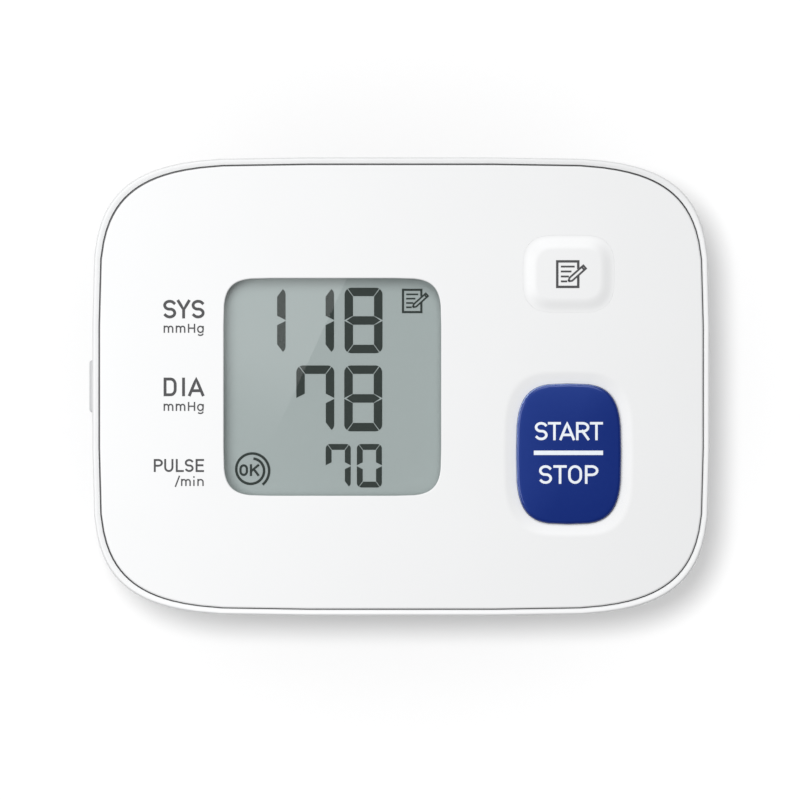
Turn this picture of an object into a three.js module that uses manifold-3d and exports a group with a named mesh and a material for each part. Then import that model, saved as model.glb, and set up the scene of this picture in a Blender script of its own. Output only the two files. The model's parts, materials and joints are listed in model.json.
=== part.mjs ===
// Wrist blood pressure monitor: a cushion-cornered case with a display and two keys on a curved wrist cuff.
// Millimetres. +Z points out of the display, +X to its right and +Y to its top.
// The origin lies on the surface that the closed cuff stands on, under the middle of the case.

import * as THREE from 'three';
import { mergeVertices } from 'three/addons/utils/BufferGeometryUtils.js';
import Module from 'manifold-3d';

const wasm = await Module();
wasm.setup();

// Clearances
const SLIDE_FIT = 0.15; // between a moving piece and the opening it slides in
const SEAT_GAP = 0.1; // under a piece that rests on another
const CUT_GAP = 0.3; // round a piece that is cut out of its neighbour's shell
const LAYER_GAP = 0.3; // between two layers of the cuff
const PASS_GAP = 0.4; // round a boss, tube or hook that passes through a wall

// Case shells
const CASE_WIDTH = 84;
const CASE_HEIGHT = 62.4;
const CORNER_SPAN_X = 29.7; // how far along the long side a corner's curve runs
const CORNER_SPAN_Y = 23.1; // how far along the short side a corner's curve runs
const CORNER_POWER = 3.94; // 2 is an ellipse, and higher is squarer
const CASE_WALL = 1.6;
const CASE_FLOOR = 1.6;
const RIM_WIDTH = 0.85; // lip outside the seam, seen from the front
const RIM_FLAT = 0.56; // flat top of that lip
const RIM_DROP = 0.8; // height over which the lip rolls into the side
const RIM_STEP = 0.2; // how far the lip's top lies under the front face
const SEAM_GAP = 0.22; // dark line between lip and front cover
const SIDE_DRAFT = 0.8; // how far the side leans in from the lip to the rear
const REAR_ROUND = 6.5; // radius of the edge between side and rear
const PANEL_THICKNESS = 1.2;
const PANEL_CHAMFER = 0.25;

// Display
const WINDOW_X = -9.4; // centre of the window from the case's middle
const WINDOW_WIDTH = 29.6;
const WINDOW_HEIGHT = 29.6;
const WINDOW_SPAN = 6.45;
const WINDOW_POWER = 3.8;
const LENS_LAP = 1.4; // how far the lens reaches behind the window's edge
const LENS_THICKNESS = 0.5;
const LCD_LAP = 2;
const LCD_THICKNESS = 2;
const HOLDER_WALL = 1.5;
const HOLDER_LEDGE = 1.4;
const HOLDER_PEG = 2.4;
const ZEBRA_WIDTH = 2;
const ZEBRA_HEIGHT = 3.6;
const ZEBRA_EDGE = 1; // from the end of a strip to the edge of the glass

// Keys
const KEY_SIDE = 19.2; // from the case's right edge to the middle of both keys
const KEY_TRAVEL = 0.5;
const KEY_FLANGE_LAP = 1;
const KEY_FLANGE_THICKNESS = 1;
const KEY_POST_RADIUS = 2;
const START_Y = -9.2;
const START_WIDTH = 14.25;
const START_HEIGHT = 19.1;
const START_SPAN_X = 6.9;
const START_SPAN_Y = 9.05;
const START_POWER = 3.3;
const START_EDGE_DROP = 0.15; // where the key's edge starts to round, under the front face
const START_EDGE_ROUND = 0.4; // width of the round edge, seen from the front
const START_SHOULDER = 0.2; // top of the round edge above the front face
const START_DOME = 0.85; // crown of the key above the front face
const START_CROWN_INSET = 6; // from the key's edge to the flat of its crown
const DISH_MARGIN = 1.85; // width of the sloping dish round the start key
const DISH_DEPTH = 0.55;
const MEMORY_Y = 15.3;
const MEMORY_WIDTH = 12.4;
const MEMORY_HEIGHT = 10.5;
const MEMORY_SPAN = 4.4;
const MEMORY_POWER = 2.7;
const MEMORY_RISE = 0.7;
const MEMORY_SLOPE = 2; // width of the sloping side, seen from the front
const SWITCH_SIZE = 6;
const SWITCH_HEIGHT = 2.6;
const SWITCH_BASE = 0.5;
const PLUNGER_RADIUS = 1.7;
const PLUNGER_RISE = 0.9; // how far the plunger stands out of its switch

// Circuit board
const BOARD_THICKNESS = 1.2;
const BOARD_MARGIN = 0.9; // from the board's edge to the case wall
const BOARD_POST_RADIUS = 2.1;
const CHIP_SIZE = 7;
const CHIP_HEIGHT = 1.1;
const CHIP_CLEAR = 0.6; // from the chip to the board screw beside it
const SENSOR_SIZE = 7;
const SENSOR_HEIGHT = 3.4;

// Screws
const SCREW_RADIUS = 0.85;
const SCREW_HEAD_RADIUS = 1.8;
const SCREW_HEAD_HEIGHT = 1.3;
const DRIVE_LENGTH = 2; // cross slot in a screw's head
const DRIVE_WIDTH = 0.4;
const DRIVE_DEPTH = 0.65;
const CASE_SCREW_LENGTH = 9;
const BOARD_SCREW_LENGTH = 5;
const BOSS_RADIUS = 2.3;
const PILLAR_RADIUS = 3;
const PILLAR_HEIGHT = 4.8;
const HEAD_DEPTH = 2.2; // counterbore from the rear face
const LEFT_SCREW_CLEAR = 0.3; // from the board's left edge to the hole for the boss
const RIGHT_SCREW_Y = 17;
const RIGHT_SCREW_CLEAR = 0.8; // from the start key's flange to the screw boss

// Pump, valve and air line
const PUMP_DIAMETER = 10;
const PUMP_FLOOR_GAP = 0.3;
const MOTOR_LENGTH = 15;
const MOTOR_WALL = 0.7;
const SHAFT_RADIUS = 0.75;
const ROTOR_LENGTH = 9;
const ROTOR_GAP = 0.6;
const CRANK_RADIUS = 2;
const CRANK_OFFSET = 0.7;
const CRANK_LENGTH = 2.4;
const HEAD_LENGTH = 6;
const HEAD_WALL = 1.5;
const DIAPHRAGM_THICKNESS = 0.8;
const CAP_LENGTH = 4;
const MANIFOLD_X = 6;
const MANIFOLD_Y = 3;
const MANIFOLD_WIDTH = 6;
const MANIFOLD_LENGTH = 8;
const TUBE_BORE = 1.9;
const TUBE_WALL = 0.8;
const TUBE_RUN = 6; // free length of the two straight tubes
const SPIGOT_LENGTH = 2.2;
const AIR_BORE_RADIUS = 0.5;
const VALVE_WIDTH = 8.4;
const VALVE_LENGTH = 10;
const VALVE_BORE_RADIUS = 2.2;
const VALVE_BORE_DEPTH = 8;
const VALVE_TRAVEL = 0.8;
const VALVE_CAP_THICKNESS = 1;
const PLUNGER_CORE_LENGTH = 3;
const SPRING_WIRE = 0.4;
const SPRING_TURNS = 3;
const SENSOR_RUN = 8; // from the manifold's side to the sensor's nozzle
const CRADLE_THICKNESS = 1.2;
const CRADLE_HEIGHT = 3.4;
const CRADLE_INSET = 3; // from the motor's ends

// Batteries
const BATTERY_DIAMETER = 10.5;
const BATTERY_LENGTH = 44.5;
const BATTERY_NUB_RADIUS = 1.9;
const BATTERY_NUB_LENGTH = 0.9;
const BATTERY_SPACING = 0.5; // gap between the two cells
const BATTERY_LIFT = 1.1; // gap from cell to floor
const BATTERY_SIDE_GAP = 0.5;
const TRAY_WALL = 1;
const CONTACT_THICKNESS = 0.4;
const CONTACT_WIDTH = 7.4;
const CONTACT_HEIGHT = 7;
const LEAF_DEPTH = 2.6; // spring leaf at each negative end
const LEAF_WIDTH = 6.4;
const LEAF_HEIGHT = 4;

// Leads
const LEAD_RADIUS = 0.55;
const LEAD_RISE = 0.9; // of a lead's bend above what it is soldered to
const TAB_WIDTH = 2.4;
const TAB_RISE = 1.2; // of a battery tab above the tray
const LEAD_CLEAR = 0.8; // from the screw boss to the leads that pass it
const LEAD_SPACING = 1.6; // between two leads
const MOTOR_LEAD_OFFSET = 2; // from the motor's axis
const MOTOR_LEAD_REACH = 3; // past the motor's end

// Battery cover
const COVER_LENGTH = 47; // along Y
const COVER_TOP = 13.6; // above the rear face
const COVER_SHELF = 2.6; // case floor left inside the bay, under the cover's tongues
const TONGUE_WIDTH = 6;
const TONGUE_Y = 12;
const TONGUE_REACH = 1.8;
const TONGUE_THICKNESS = 0.7;
const LATCH_WIDTH = 7.2;
const LATCH_PROUD = 0.95;
const LATCH_HEIGHT = 3.2;
const LATCH_TOP = 12.4;

// Cuff
const CUFF_WIDTH = 56; // along the forearm
const WRIST_RADIUS = 18.5; // inside radius of the loop's round ends
const WRIST_FLAT = 14; // half length of the loop's flat stretches
const LINING_THICKNESS = 0.8;
const BLADDER_THICKNESS = 1.6;
const CURLER_THICKNESS = 1;
const SHEATH_THICKNESS = 1;
const SHEATH_END_ANGLE = 3; // degrees of solid sheath at each end of a pocket
const CUFF_RIGHT_ANGLE = -25; // degrees, at the end of the tongue on the right
const CUFF_LEFT_ANGLE = 235; // degrees, at the fold on the lower left
const FOLD_ANGLE = 1.4; // degrees between the fixed cuff and the flap
const FLAP_END_ANGLE = 315;
const STRAP_START_ANGLE = 250;
const STRAP_END_ANGLE = 385;
const STRAP_THICKNESS = 1.8;
const STRAP_WIDTH = 50;
const HOOK_THICKNESS = 0.6;
const HOOK_WIDTH = 42;
const HOOK_START_ANGLE = 338;
const HOOK_END_ANGLE = 382;
const HOOK_GAP = 0.15;
const SADDLE_REACH = 26; // half width of the saddle between case and cuff
const SADDLE_LENGTH = 46;
const SADDLE_THICKNESS = 1.2; // at its thinnest
const SADDLE_TIP = 0.6;
const SADDLE_HOOK_Y = 10.5;
const SADDLE_HOOK_WIDTH = 5;
const SADDLE_HOOK_THICKNESS = 1.6;
const SADDLE_HOOK_BARB = 0.7;
const SADDLE_HOOK_CLEAR = 0.5; // from a barb to the nearest piece inside the case

// Drawing steps
const CORNER_STEPS = 11; // per corner of the case
const SMALL_CORNER_STEPS = 7; // per corner of keys and window
const REAR_ROUND_STEPS = 5; // over the case's rear edge
const RIM_STEPS = 3; // over the rolled lip
const SLOPE_STEPS = 4; // over the dish and the memory key's sides
const ROUNDING_STEPS = 3; // over each round of the start key
const SCREW_SIDES = 12;
const CELL_SIDES = 20;
const LEAF_STEPS = 8; // over the arch of a contact's leaf
const WIRE_SIDES = 5; // of the valve spring's wire
const BEND_STEPS = 12; // along the bent tube
const ROUND_SIDES = 16; // round bosses, screws and cells
const TUBE_SIDES = 8;
const STEPS_PER_TURN = 8; // of the valve spring
const LEAD_STEPS = 12; // along a lead
const BAND_STEP_ANGLE = 8; // degrees

// Heights above the rear face of the case, stacked from the floor to the front
const pumpAxisZ = CASE_FLOOR + PUMP_FLOOR_GAP + PUMP_DIAMETER / 2;
const boardBottom = pumpAxisZ + PUMP_DIAMETER / 2 + PUMP_FLOOR_GAP;
const boardTop = boardBottom + BOARD_THICKNESS;
const zebraBottom = boardTop + SEAT_GAP / 2;
const lcdBottom = zebraBottom + ZEBRA_HEIGHT + SEAT_GAP / 2;
const lcdTop = lcdBottom + LCD_THICKNESS;
const lensBottom = lcdTop + SEAT_GAP;
const lensTop = lensBottom + LENS_THICKNESS;
const panelBack = lensTop + SEAT_GAP;
const front = panelBack + PANEL_THICKNESS;
const rimTop = front - RIM_STEP;
const ledge = panelBack - SEAT_GAP;
const batteryZ = CASE_FLOOR + BATTERY_LIFT + BATTERY_DIAMETER / 2;
const trayRoof = batteryZ + BATTERY_DIAMETER / 2 + BATTERY_SPACING / 2;
const trayTop = trayRoof + TRAY_WALL;
const holderBottom = Math.max(trayTop, boardTop) + SLIDE_FIT;

// Radii of the cuff's layers, from the wrist outwards
const liningOuter = WRIST_RADIUS + LINING_THICKNESS;
const bladderInner = liningOuter + LAYER_GAP;
const bladderOuter = bladderInner + BLADDER_THICKNESS;
const curlerInner = bladderOuter + LAYER_GAP;
const curlerOuter = curlerInner + CURLER_THICKNESS;
const sheathInner = curlerOuter + LAYER_GAP;
const sheathOuter = sheathInner + SHEATH_THICKNESS;
const hookInner = sheathOuter + HOOK_GAP;
const strapInner = hookInner + HOOK_THICKNESS + HOOK_GAP;
const strapOuter = strapInner + STRAP_THICKNESS;
const flapOuter = strapInner - LAYER_GAP;
const loopCentreZ = strapOuter;
const saddleTop = loopCentreZ + sheathOuter + LAYER_GAP + SADDLE_THICKNESS;
const caseBottom = saddleTop + SEAT_GAP;

// Materials
function finish(color, roughness, metalness = 0) {
  return new THREE.MeshStandardMaterial({ color, roughness, metalness });
}
const whitePlastic = finish(0xf2f3f3, 0.4);
const bluePlastic = finish(0x1b2a86, 0.3);
const clearPlastic = finish(0xdfe6e4, 0.05);
const displayGlass = finish(0xa3aeab, 0.2);
const blackPlastic = finish(0x24262a, 0.5);
const greyPlastic = finish(0x9a9ea3, 0.5);
const redLead = finish(0xa8211c, 0.45);
const blackLead = finish(0x1b1b1c, 0.45);
const darkRubber = finish(0x3a3d41, 0.8);
const clearSilicone = finish(0xd9dcd8, 0.6);
const boardGreen = finish(0x1f5b3a, 0.5);
const steel = finish(0xb9bcc0, 0.3, 1);
const brass = finish(0xc2a35a, 0.35, 1);
const cellSleeve = finish(0x3b6f4a, 0.4, 0.3);
const greyFabric = finish(0x6d7076, 0.95);
const darkFabric = finish(0x45484e, 0.95);
const bladderFilm = finish(0xc9c4b8, 0.5);

// Solids: three.js geometry becomes a solid that can be joined and cut

function solid(geometry) {
  const bare = new THREE.BufferGeometry();
  bare.setAttribute('position', geometry.getAttribute('position'));
  bare.setIndex(geometry.getIndex());
  const merged = mergeVertices(bare, 1e-4);
  const vertProperties = new Float32Array(merged.getAttribute('position').array);
  const triVerts = new Uint32Array(merged.getIndex().array);
  return new wasm.Manifold(new wasm.Mesh({ numProp: 3, vertProperties, triVerts }));
}

function join(first, ...others) {
  return others.reduce((whole, piece) => whole.add(piece), first);
}

function cut(first, ...others) {
  return others.reduce((whole, piece) => whole.subtract(piece), first);
}

function piece(name, shape, material, parent) {
  const made = shape.getMesh();
  const geometry = new THREE.BufferGeometry();
  geometry.setAttribute('position', new THREE.BufferAttribute(made.vertProperties, 3));
  geometry.setIndex(new THREE.BufferAttribute(made.triVerts, 1));
  geometry.computeVertexNormals();
  const mesh = new THREE.Mesh(geometry, material);
  mesh.name = name;
  parent.add(mesh);
  return mesh;
}

function block(low, high) {
  const size = high.map((value, axis) => value - low[axis]);
  const geometry = new THREE.BoxGeometry(...size);
  geometry.translate(...high.map((value, axis) => (value + low[axis]) / 2));
  return solid(geometry);
}

// Round bar from one point towards +X, +Y or +Z
function bar(axis, start, length, radius, sides = ROUND_SIDES) {
  const geometry = new THREE.CylinderGeometry(radius, radius, length, sides);
  geometry.translate(0, length / 2, 0);
  if (axis === 'x') geometry.rotateZ(-Math.PI / 2);
  if (axis === 'z') geometry.rotateX(Math.PI / 2);
  geometry.translate(...start);
  return solid(geometry);
}

function pipe(axis, start, length, outerRadius, innerRadius, sides = ROUND_SIDES) {
  return cut(
    bar(axis, start, length, outerRadius, sides),
    bar(axis, start, length, innerRadius, sides),
  );
}

// Outline with straight sides and superelliptic corners
function cushion(width, height, spanX, spanY, power, x = 0, y = 0) {
  return { halfX: width / 2, halfY: height / 2, spanX, spanY, power, x, y };
}

function grown(outline, margin) {
  return {
    ...outline,
    halfX: outline.halfX + margin,
    halfY: outline.halfY + margin,
    spanX: outline.spanX + margin,
    spanY: outline.spanY + margin,
  };
}

function cushionPoints(outline, steps) {
  const { halfX, halfY, spanX, spanY, power, x, y } = outline;
  const signs = [[1, 1], [-1, 1], [-1, -1], [1, -1]];
  return signs.flatMap(([signX, signY], quarter) => {
    return Array.from({ length: steps + 1 }, (_, step) => {
      const angle = ((quarter + step / steps) * Math.PI) / 2;
      const across = Math.abs(Math.cos(angle)) ** (2 / power);
      const along = Math.abs(Math.sin(angle)) ** (2 / power);
      const pointX = x + signX * (halfX - spanX + spanX * across);
      const pointY = y + signY * (halfY - spanY + spanY * along);
      return new THREE.Vector2(pointX, pointY);
    });
  });
}

// Half width of an outline at a distance y from its middle
function halfWidthAt(outline, y) {
  const past = Math.max(0, Math.abs(y) - (outline.halfY - outline.spanY)) / outline.spanY;
  const across = Math.max(0, 1 - past ** outline.power) ** (1 / outline.power);
  return outline.halfX - outline.spanX + outline.spanX * across;
}

// Closed solid through a stack of outlines, each drawn in by an inset at its height, from low to high
function loft(outline, levels, steps) {
  const rings = levels.map(({ inset, z }) => {
    return cushionPoints(grown(outline, -inset), steps).map((p) => [p.x, p.y, z]);
  });
  const count = rings[0].length;
  const last = rings.length - 1;
  const positions = rings.flat();
  const lowCentre = positions.push([outline.x, outline.y, levels[0].z]) - 1;
  const highCentre = positions.push([outline.x, outline.y, levels[last].z]) - 1;
  const faces = [];
  for (let i = 0; i < count; i++) {
    const next = (i + 1) % count;
    faces.push(lowCentre, next, i);
    faces.push(highCentre, last * count + i, last * count + next);
    for (let ring = 0; ring < last; ring++) {
      const low = ring * count;
      const high = low + count;
      faces.push(low + i, low + next, high + next);
      faces.push(low + i, high + next, high + i);
    }
  }
  const geometry = new THREE.BufferGeometry();
  geometry.setAttribute('position', new THREE.Float32BufferAttribute(positions.flat(), 3));
  geometry.setIndex(faces);
  return solid(geometry);
}

// Levels of a slope that leaves both its ends level
function slope(low, high) {
  return Array.from({ length: SLOPE_STEPS + 1 }, (_, step) => {
    const share = step / SLOPE_STEPS;
    const rise = (1 - Math.cos(share * Math.PI)) / 2;
    return { inset: low.inset + (high.inset - low.inset) * share, z: low.z + (high.z - low.z) * rise };
  });
}

// Levels of a quarter round that starts upright and ends level
function rounding(low, high) {
  return Array.from({ length: ROUNDING_STEPS + 1 }, (_, step) => {
    const angle = ((step / ROUNDING_STEPS) * Math.PI) / 2;
    const inset = low.inset + (high.inset - low.inset) * (1 - Math.cos(angle));
    return { inset, z: low.z + (high.z - low.z) * Math.sin(angle) };
  });
}

function plate(outline, low, high, steps) {
  return loft(outline, [{ inset: 0, z: low }, { inset: 0, z: high }], steps);
}

// Outline drawn in X and Z, extruded along Y about the middle
function yExtrusion(points, width) {
  const shape = new THREE.Shape(points);
  const geometry = new THREE.ExtrudeGeometry(shape, { depth: width, bevelEnabled: false });
  geometry.translate(0, 0, -width / 2);
  geometry.rotateX(Math.PI / 2);
  return solid(geometry);
}

// Tube along a curve, with a bore
function hose(curve, outerRadius, innerRadius, steps) {
  const ring = (radius) => {
    return Array.from({ length: TUBE_SIDES }, (_, side) => {
      const angle = (side / TUBE_SIDES) * 2 * Math.PI;
      return new THREE.Vector2(radius * Math.cos(angle), radius * Math.sin(angle));
    });
  };
  const sweep = (radius) => {
    const settings = { steps, bevelEnabled: false, extrudePath: curve };
    return solid(new THREE.ExtrudeGeometry(new THREE.Shape(ring(radius)), settings));
  };
  return innerRadius > 0 ? cut(sweep(outerRadius), sweep(innerRadius)) : sweep(outerRadius);
}

// Case shells

const caseOutline = cushion(CASE_WIDTH, CASE_HEIGHT, CORNER_SPAN_X, CORNER_SPAN_Y, CORNER_POWER);

// How far the outer skin lies inside the widest outline at a height
function skinInset(z) {
  const draft = SIDE_DRAFT * (1 - z / rimTop);
  const rearShare = Math.max(0, REAR_ROUND - z) / REAR_ROUND;
  const rimShare = Math.min(1, Math.max(0, z - (rimTop - RIM_DROP)) / RIM_DROP);
  const rear = REAR_ROUND * (1 - Math.sqrt(1 - rearShare ** 2));
  const rim = (RIM_WIDTH - RIM_FLAT) * (1 - Math.sqrt(1 - rimShare ** 2));
  return draft + rear + rim;
}

// Heights of the outer skin's rings: evenly turned round the two round edges
function skinHeights(low) {
  const turns = (steps) => Array.from({ length: steps + 1 }, (_, step) => ((step / steps) * Math.PI) / 2);
  const rear = turns(REAR_ROUND_STEPS).map((angle) => REAR_ROUND * (1 - Math.cos(angle)));
  const rim = turns(RIM_STEPS).map((angle) => rimTop - RIM_DROP * (1 - Math.sin(angle)));
  return [low, ...[...rear, ...rim].filter((z) => z > low + SEAT_GAP)];
}

function outerSkin() {
  const levels = skinHeights(0).map((z) => ({ inset: skinInset(z), z }));
  return loft(caseOutline, levels, CORNER_STEPS);
}

// Space inside the shell, drawn in by a margin, up to a height
function caseCavity(margin, top) {
  const low = CASE_FLOOR + margin;
  const heights = [...skinHeights(low).filter((z) => z < Math.min(top, ledge) - SEAT_GAP), top];
  const levels = heights.map((z) => ({ inset: skinInset(Math.min(z, ledge)) + CASE_WALL + margin, z }));
  return loft(caseOutline, levels, CORNER_STEPS);
}

const keyX = CASE_WIDTH / 2 - KEY_SIDE;

// Places of the pump, the valve and the air line
const tubeRadius = TUBE_BORE / 2 + TUBE_WALL;
const spigotRadius = TUBE_BORE / 2 - SEAT_GAP;
const airZ = CASE_FLOOR + PUMP_FLOOR_GAP + MANIFOLD_WIDTH / 2;
const manifoldRight = MANIFOLD_X + MANIFOLD_WIDTH / 2;
const manifoldLeft = MANIFOLD_X - MANIFOLD_WIDTH / 2;
const manifoldTop = MANIFOLD_Y + MANIFOLD_LENGTH / 2;
const pumpX = manifoldRight + TUBE_RUN + PUMP_DIAMETER / 2;
const capStart = MANIFOLD_Y - CAP_LENGTH / 2;
const diaphragmStart = capStart - SEAT_GAP - DIAPHRAGM_THICKNESS;
const headStart = diaphragmStart - SEAT_GAP - HEAD_LENGTH;
const motorStart = headStart - SEAT_GAP - MOTOR_LENGTH;
const valveStart = manifoldTop + TUBE_RUN;
const sensorX = manifoldLeft - SENSOR_RUN;

// Places of the batteries, from the left wall of the case inwards
const bayHalf = (BATTERY_LENGTH + LEAF_DEPTH + 2 * CONTACT_THICKNESS + 4 * SEAT_GAP) / 2;
const bayOutline = grown(caseOutline, -(skinInset(batteryZ) + CASE_WALL));
const outerCellX = -halfWidthAt(bayOutline, BATTERY_LENGTH / 2) + BATTERY_SIDE_GAP + BATTERY_DIAMETER / 2;
const innerCellX = outerCellX + BATTERY_DIAMETER + BATTERY_SPACING;
const trayInside = innerCellX + BATTERY_DIAMETER / 2 + BATTERY_SPACING;
const trayRight = trayInside + TRAY_WALL;
const coverRight = trayInside - COVER_SHELF;
const boardLeft = trayRight + CUT_GAP;

// Screw places: the left pair beside the display holder, the right pair beside the start key
const holderHalfX = WINDOW_WIDTH / 2 + LCD_LAP + SLIDE_FIT + HOLDER_WALL;
const holderHalfY = WINDOW_HEIGHT / 2 + LCD_LAP + SLIDE_FIT + HOLDER_WALL;
const leftScrewX = boardLeft + LEFT_SCREW_CLEAR + PASS_GAP + BOSS_RADIUS;
const leftScrewY = holderHalfY + BOSS_RADIUS + PASS_GAP;
const rightScrewX = keyX + START_WIDTH / 2 + KEY_FLANGE_LAP + BOSS_RADIUS + RIGHT_SCREW_CLEAR;
const caseScrewPlaces = [
  [leftScrewX, leftScrewY],
  [leftScrewX, -leftScrewY],
  [rightScrewX, RIGHT_SCREW_Y],
  [rightScrewX, -RIGHT_SCREW_Y],
];

// Board posts stand clear of the pump and the valve
const boardPostX = Math.max(MANIFOLD_X + VALVE_WIDTH / 2, manifoldRight) + BOARD_POST_RADIUS + 2 * PASS_GAP;
const boardPostTop = valveStart + VALVE_LENGTH - BOARD_POST_RADIUS;
const boardPostLow = motorStart - BOARD_POST_RADIUS - PASS_GAP;
const boardPostRight = pumpX + PUMP_DIAMETER / 2 + BOARD_POST_RADIUS + 4 * PASS_GAP;
const boardPostPlaces = [
  [boardPostX, boardPostTop],
  [boardPostX, boardPostLow],
  [boardPostRight, MANIFOLD_Y],
];

// Hooks that hold the saddle: two beside the battery tray and two beside the motor's cradle
const cradleHalf = PUMP_DIAMETER / 2 + CRADLE_THICKNESS;
const barbReach = SADDLE_HOOK_THICKNESS / 2 + PASS_GAP + SADDLE_HOOK_BARB;
const leftHookX = trayRight + SADDLE_HOOK_CLEAR + barbReach;
const rightHookX = pumpX - cradleHalf - SADDLE_HOOK_CLEAR - barbReach;
const saddleHookPlaces = [-SADDLE_HOOK_Y, SADDLE_HOOK_Y].flatMap((y) => {
  return [[leftHookX, y, -1], [rightHookX, y, 1]];
});

// Cut for the battery cover: the left side of the shell and the floor under the cells
function coverCut(margin) {
  const half = COVER_LENGTH / 2 - margin;
  return block([-CASE_WIDTH, -half, -CASE_WALL], [coverRight - margin, half, COVER_TOP - margin]);
}

function bareShell() {
  const pocket = plate(grown(caseOutline, -RIM_WIDTH), ledge, front + RIM_WIDTH, CORNER_STEPS);
  return cut(outerSkin(), caseCavity(0, ledge + RIM_WIDTH), pocket);
}

// Two ribs with round seats that carry the motor
function pumpCradles() {
  const places = [motorStart + CRADLE_INSET, motorStart + MOTOR_LENGTH - CRADLE_INSET];
  const seat = bar('y', [pumpX, motorStart, pumpAxisZ], MOTOR_LENGTH, PUMP_DIAMETER / 2 + SLIDE_FIT);
  const ribs = places.map((y) => {
    const low = [pumpX - cradleHalf, y - CRADLE_THICKNESS / 2, CASE_FLOOR / 2];
    const high = [pumpX + cradleHalf, y + CRADLE_THICKNESS / 2, CASE_FLOOR + CRADLE_HEIGHT];
    return cut(block(low, high), seat);
  });
  return ribs;
}

function makeRearCase(parent) {
  const pillars = caseScrewPlaces.map(([x, y]) => bar('z', [x, y, 0], PILLAR_HEIGHT, PILLAR_RADIUS));
  const posts = boardPostPlaces.map(([x, y]) => {
    return bar('z', [x, y, 0], boardBottom - SEAT_GAP, BOARD_POST_RADIUS);
  });
  const inside = outerSkin();
  const supports = [...pillars, ...posts, ...pumpCradles()].map((shape) => shape.intersect(inside));
  const heads = caseScrewPlaces.map(([x, y]) => {
    return bar('z', [x, y, -CASE_FLOOR], CASE_FLOOR + HEAD_DEPTH, SCREW_HEAD_RADIUS + SLIDE_FIT);
  });
  const shanks = caseScrewPlaces.map(([x, y]) => {
    return bar('z', [x, y, 0], PILLAR_HEIGHT + CASE_FLOOR, SCREW_RADIUS + SLIDE_FIT);
  });
  const boardHoles = boardPostPlaces.map(([x, y]) => {
    const depth = BOARD_SCREW_LENGTH + CASE_FLOOR;
    return bar('z', [x, y, boardBottom - depth], depth, SCREW_RADIUS + SLIDE_FIT);
  });
  const hookSlots = saddleHookPlaces.map(([x, y]) => {
    const halfX = SADDLE_HOOK_THICKNESS / 2 + PASS_GAP;
    const halfY = SADDLE_HOOK_WIDTH / 2 + PASS_GAP;
    return block([x - halfX, y - halfY, -CASE_FLOOR], [x + halfX, y + halfY, 2 * CASE_FLOOR]);
  });
  const airHole = bar('z', [MANIFOLD_X, MANIFOLD_Y, -CASE_FLOOR], 3 * CASE_FLOOR, tubeRadius + PASS_GAP);
  const shell = join(bareShell(), ...supports);
  const made = cut(shell, coverCut(0), ...heads, ...shanks, ...boardHoles, ...hookSlots, airHole);
  piece('rear_case', made, whitePlastic, parent);
}

const windowOutline = cushion(
  WINDOW_WIDTH, WINDOW_HEIGHT, WINDOW_SPAN, WINDOW_SPAN, WINDOW_POWER, WINDOW_X,
);
const startOutline = cushion(
  START_WIDTH, START_HEIGHT, START_SPAN_X, START_SPAN_Y, START_POWER, keyX, START_Y,
);
const memoryOutline = cushion(
  MEMORY_WIDTH, MEMORY_HEIGHT, MEMORY_SPAN, MEMORY_SPAN, MEMORY_POWER, keyX, MEMORY_Y,
);

function makeFrontCover(parent) {
  const panelOutline = grown(caseOutline, -(RIM_WIDTH + SEAM_GAP));
  const levels = [
    { inset: 0, z: panelBack },
    { inset: 0, z: front - PANEL_CHAMFER },
    { inset: PANEL_CHAMFER, z: front },
  ];
  const panel = loft(panelOutline, levels, CORNER_STEPS);
  const dishSlope = slope({ inset: 0, z: front - DISH_DEPTH }, { inset: -DISH_MARGIN, z: front });
  const dishLevels = [...dishSlope, { inset: -DISH_MARGIN, z: front + DISH_DEPTH }];
  const dish = loft(grown(startOutline, SLIDE_FIT), dishLevels, SMALL_CORNER_STEPS);
  const openings = [windowOutline, grown(startOutline, SLIDE_FIT), grown(memoryOutline, SLIDE_FIT)];
  const holes = openings.map((outline) => {
    return plate(outline, panelBack - PANEL_THICKNESS, front + PANEL_THICKNESS, SMALL_CORNER_STEPS);
  });
  const bossBottom = PILLAR_HEIGHT + SEAT_GAP;
  const bosses = caseScrewPlaces.map(([x, y]) => {
    return bar('z', [x, y, bossBottom], panelBack + PANEL_THICKNESS / 2 - bossBottom, BOSS_RADIUS);
  });
  const screwHoles = caseScrewPlaces.map(([x, y]) => {
    return bar('z', [x, y, 0], HEAD_DEPTH + CASE_SCREW_LENGTH + PASS_GAP, SCREW_RADIUS + SLIDE_FIT);
  });
  const made = cut(join(panel, ...bosses), dish, ...holes, ...screwHoles);
  piece('front_cover', made, whitePlastic, parent);
}

function makeBatteryCover(parent) {
  const shell = bareShell().intersect(coverCut(CUT_GAP));
  const wallX = -CASE_WIDTH / 2 + skinInset(LATCH_TOP);
  const latchLow = [wallX - LATCH_PROUD, -LATCH_WIDTH / 2, LATCH_TOP - LATCH_HEIGHT];
  const latchHigh = [wallX + CASE_WALL / 2, LATCH_WIDTH / 2, LATCH_TOP];
  const tongueTop = CASE_FLOOR + SLIDE_FIT + TONGUE_THICKNESS;
  const root = coverRight - CUT_GAP - TONGUE_REACH;
  const tongues = [-TONGUE_Y, TONGUE_Y].flatMap((y) => {
    const low = y - TONGUE_WIDTH / 2;
    const high = y + TONGUE_WIDTH / 2;
    const foot = block([root, low, CASE_FLOOR / 2], [coverRight - CUT_GAP, high, tongueTop]);
    const tip = block([root, low, CASE_FLOOR + SLIDE_FIT], [coverRight + TONGUE_REACH, high, tongueTop]);
    return [foot, tip];
  });
  piece('battery_cover', join(shell, block(latchLow, latchHigh), ...tongues), whitePlastic, parent);
}

// Display

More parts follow.
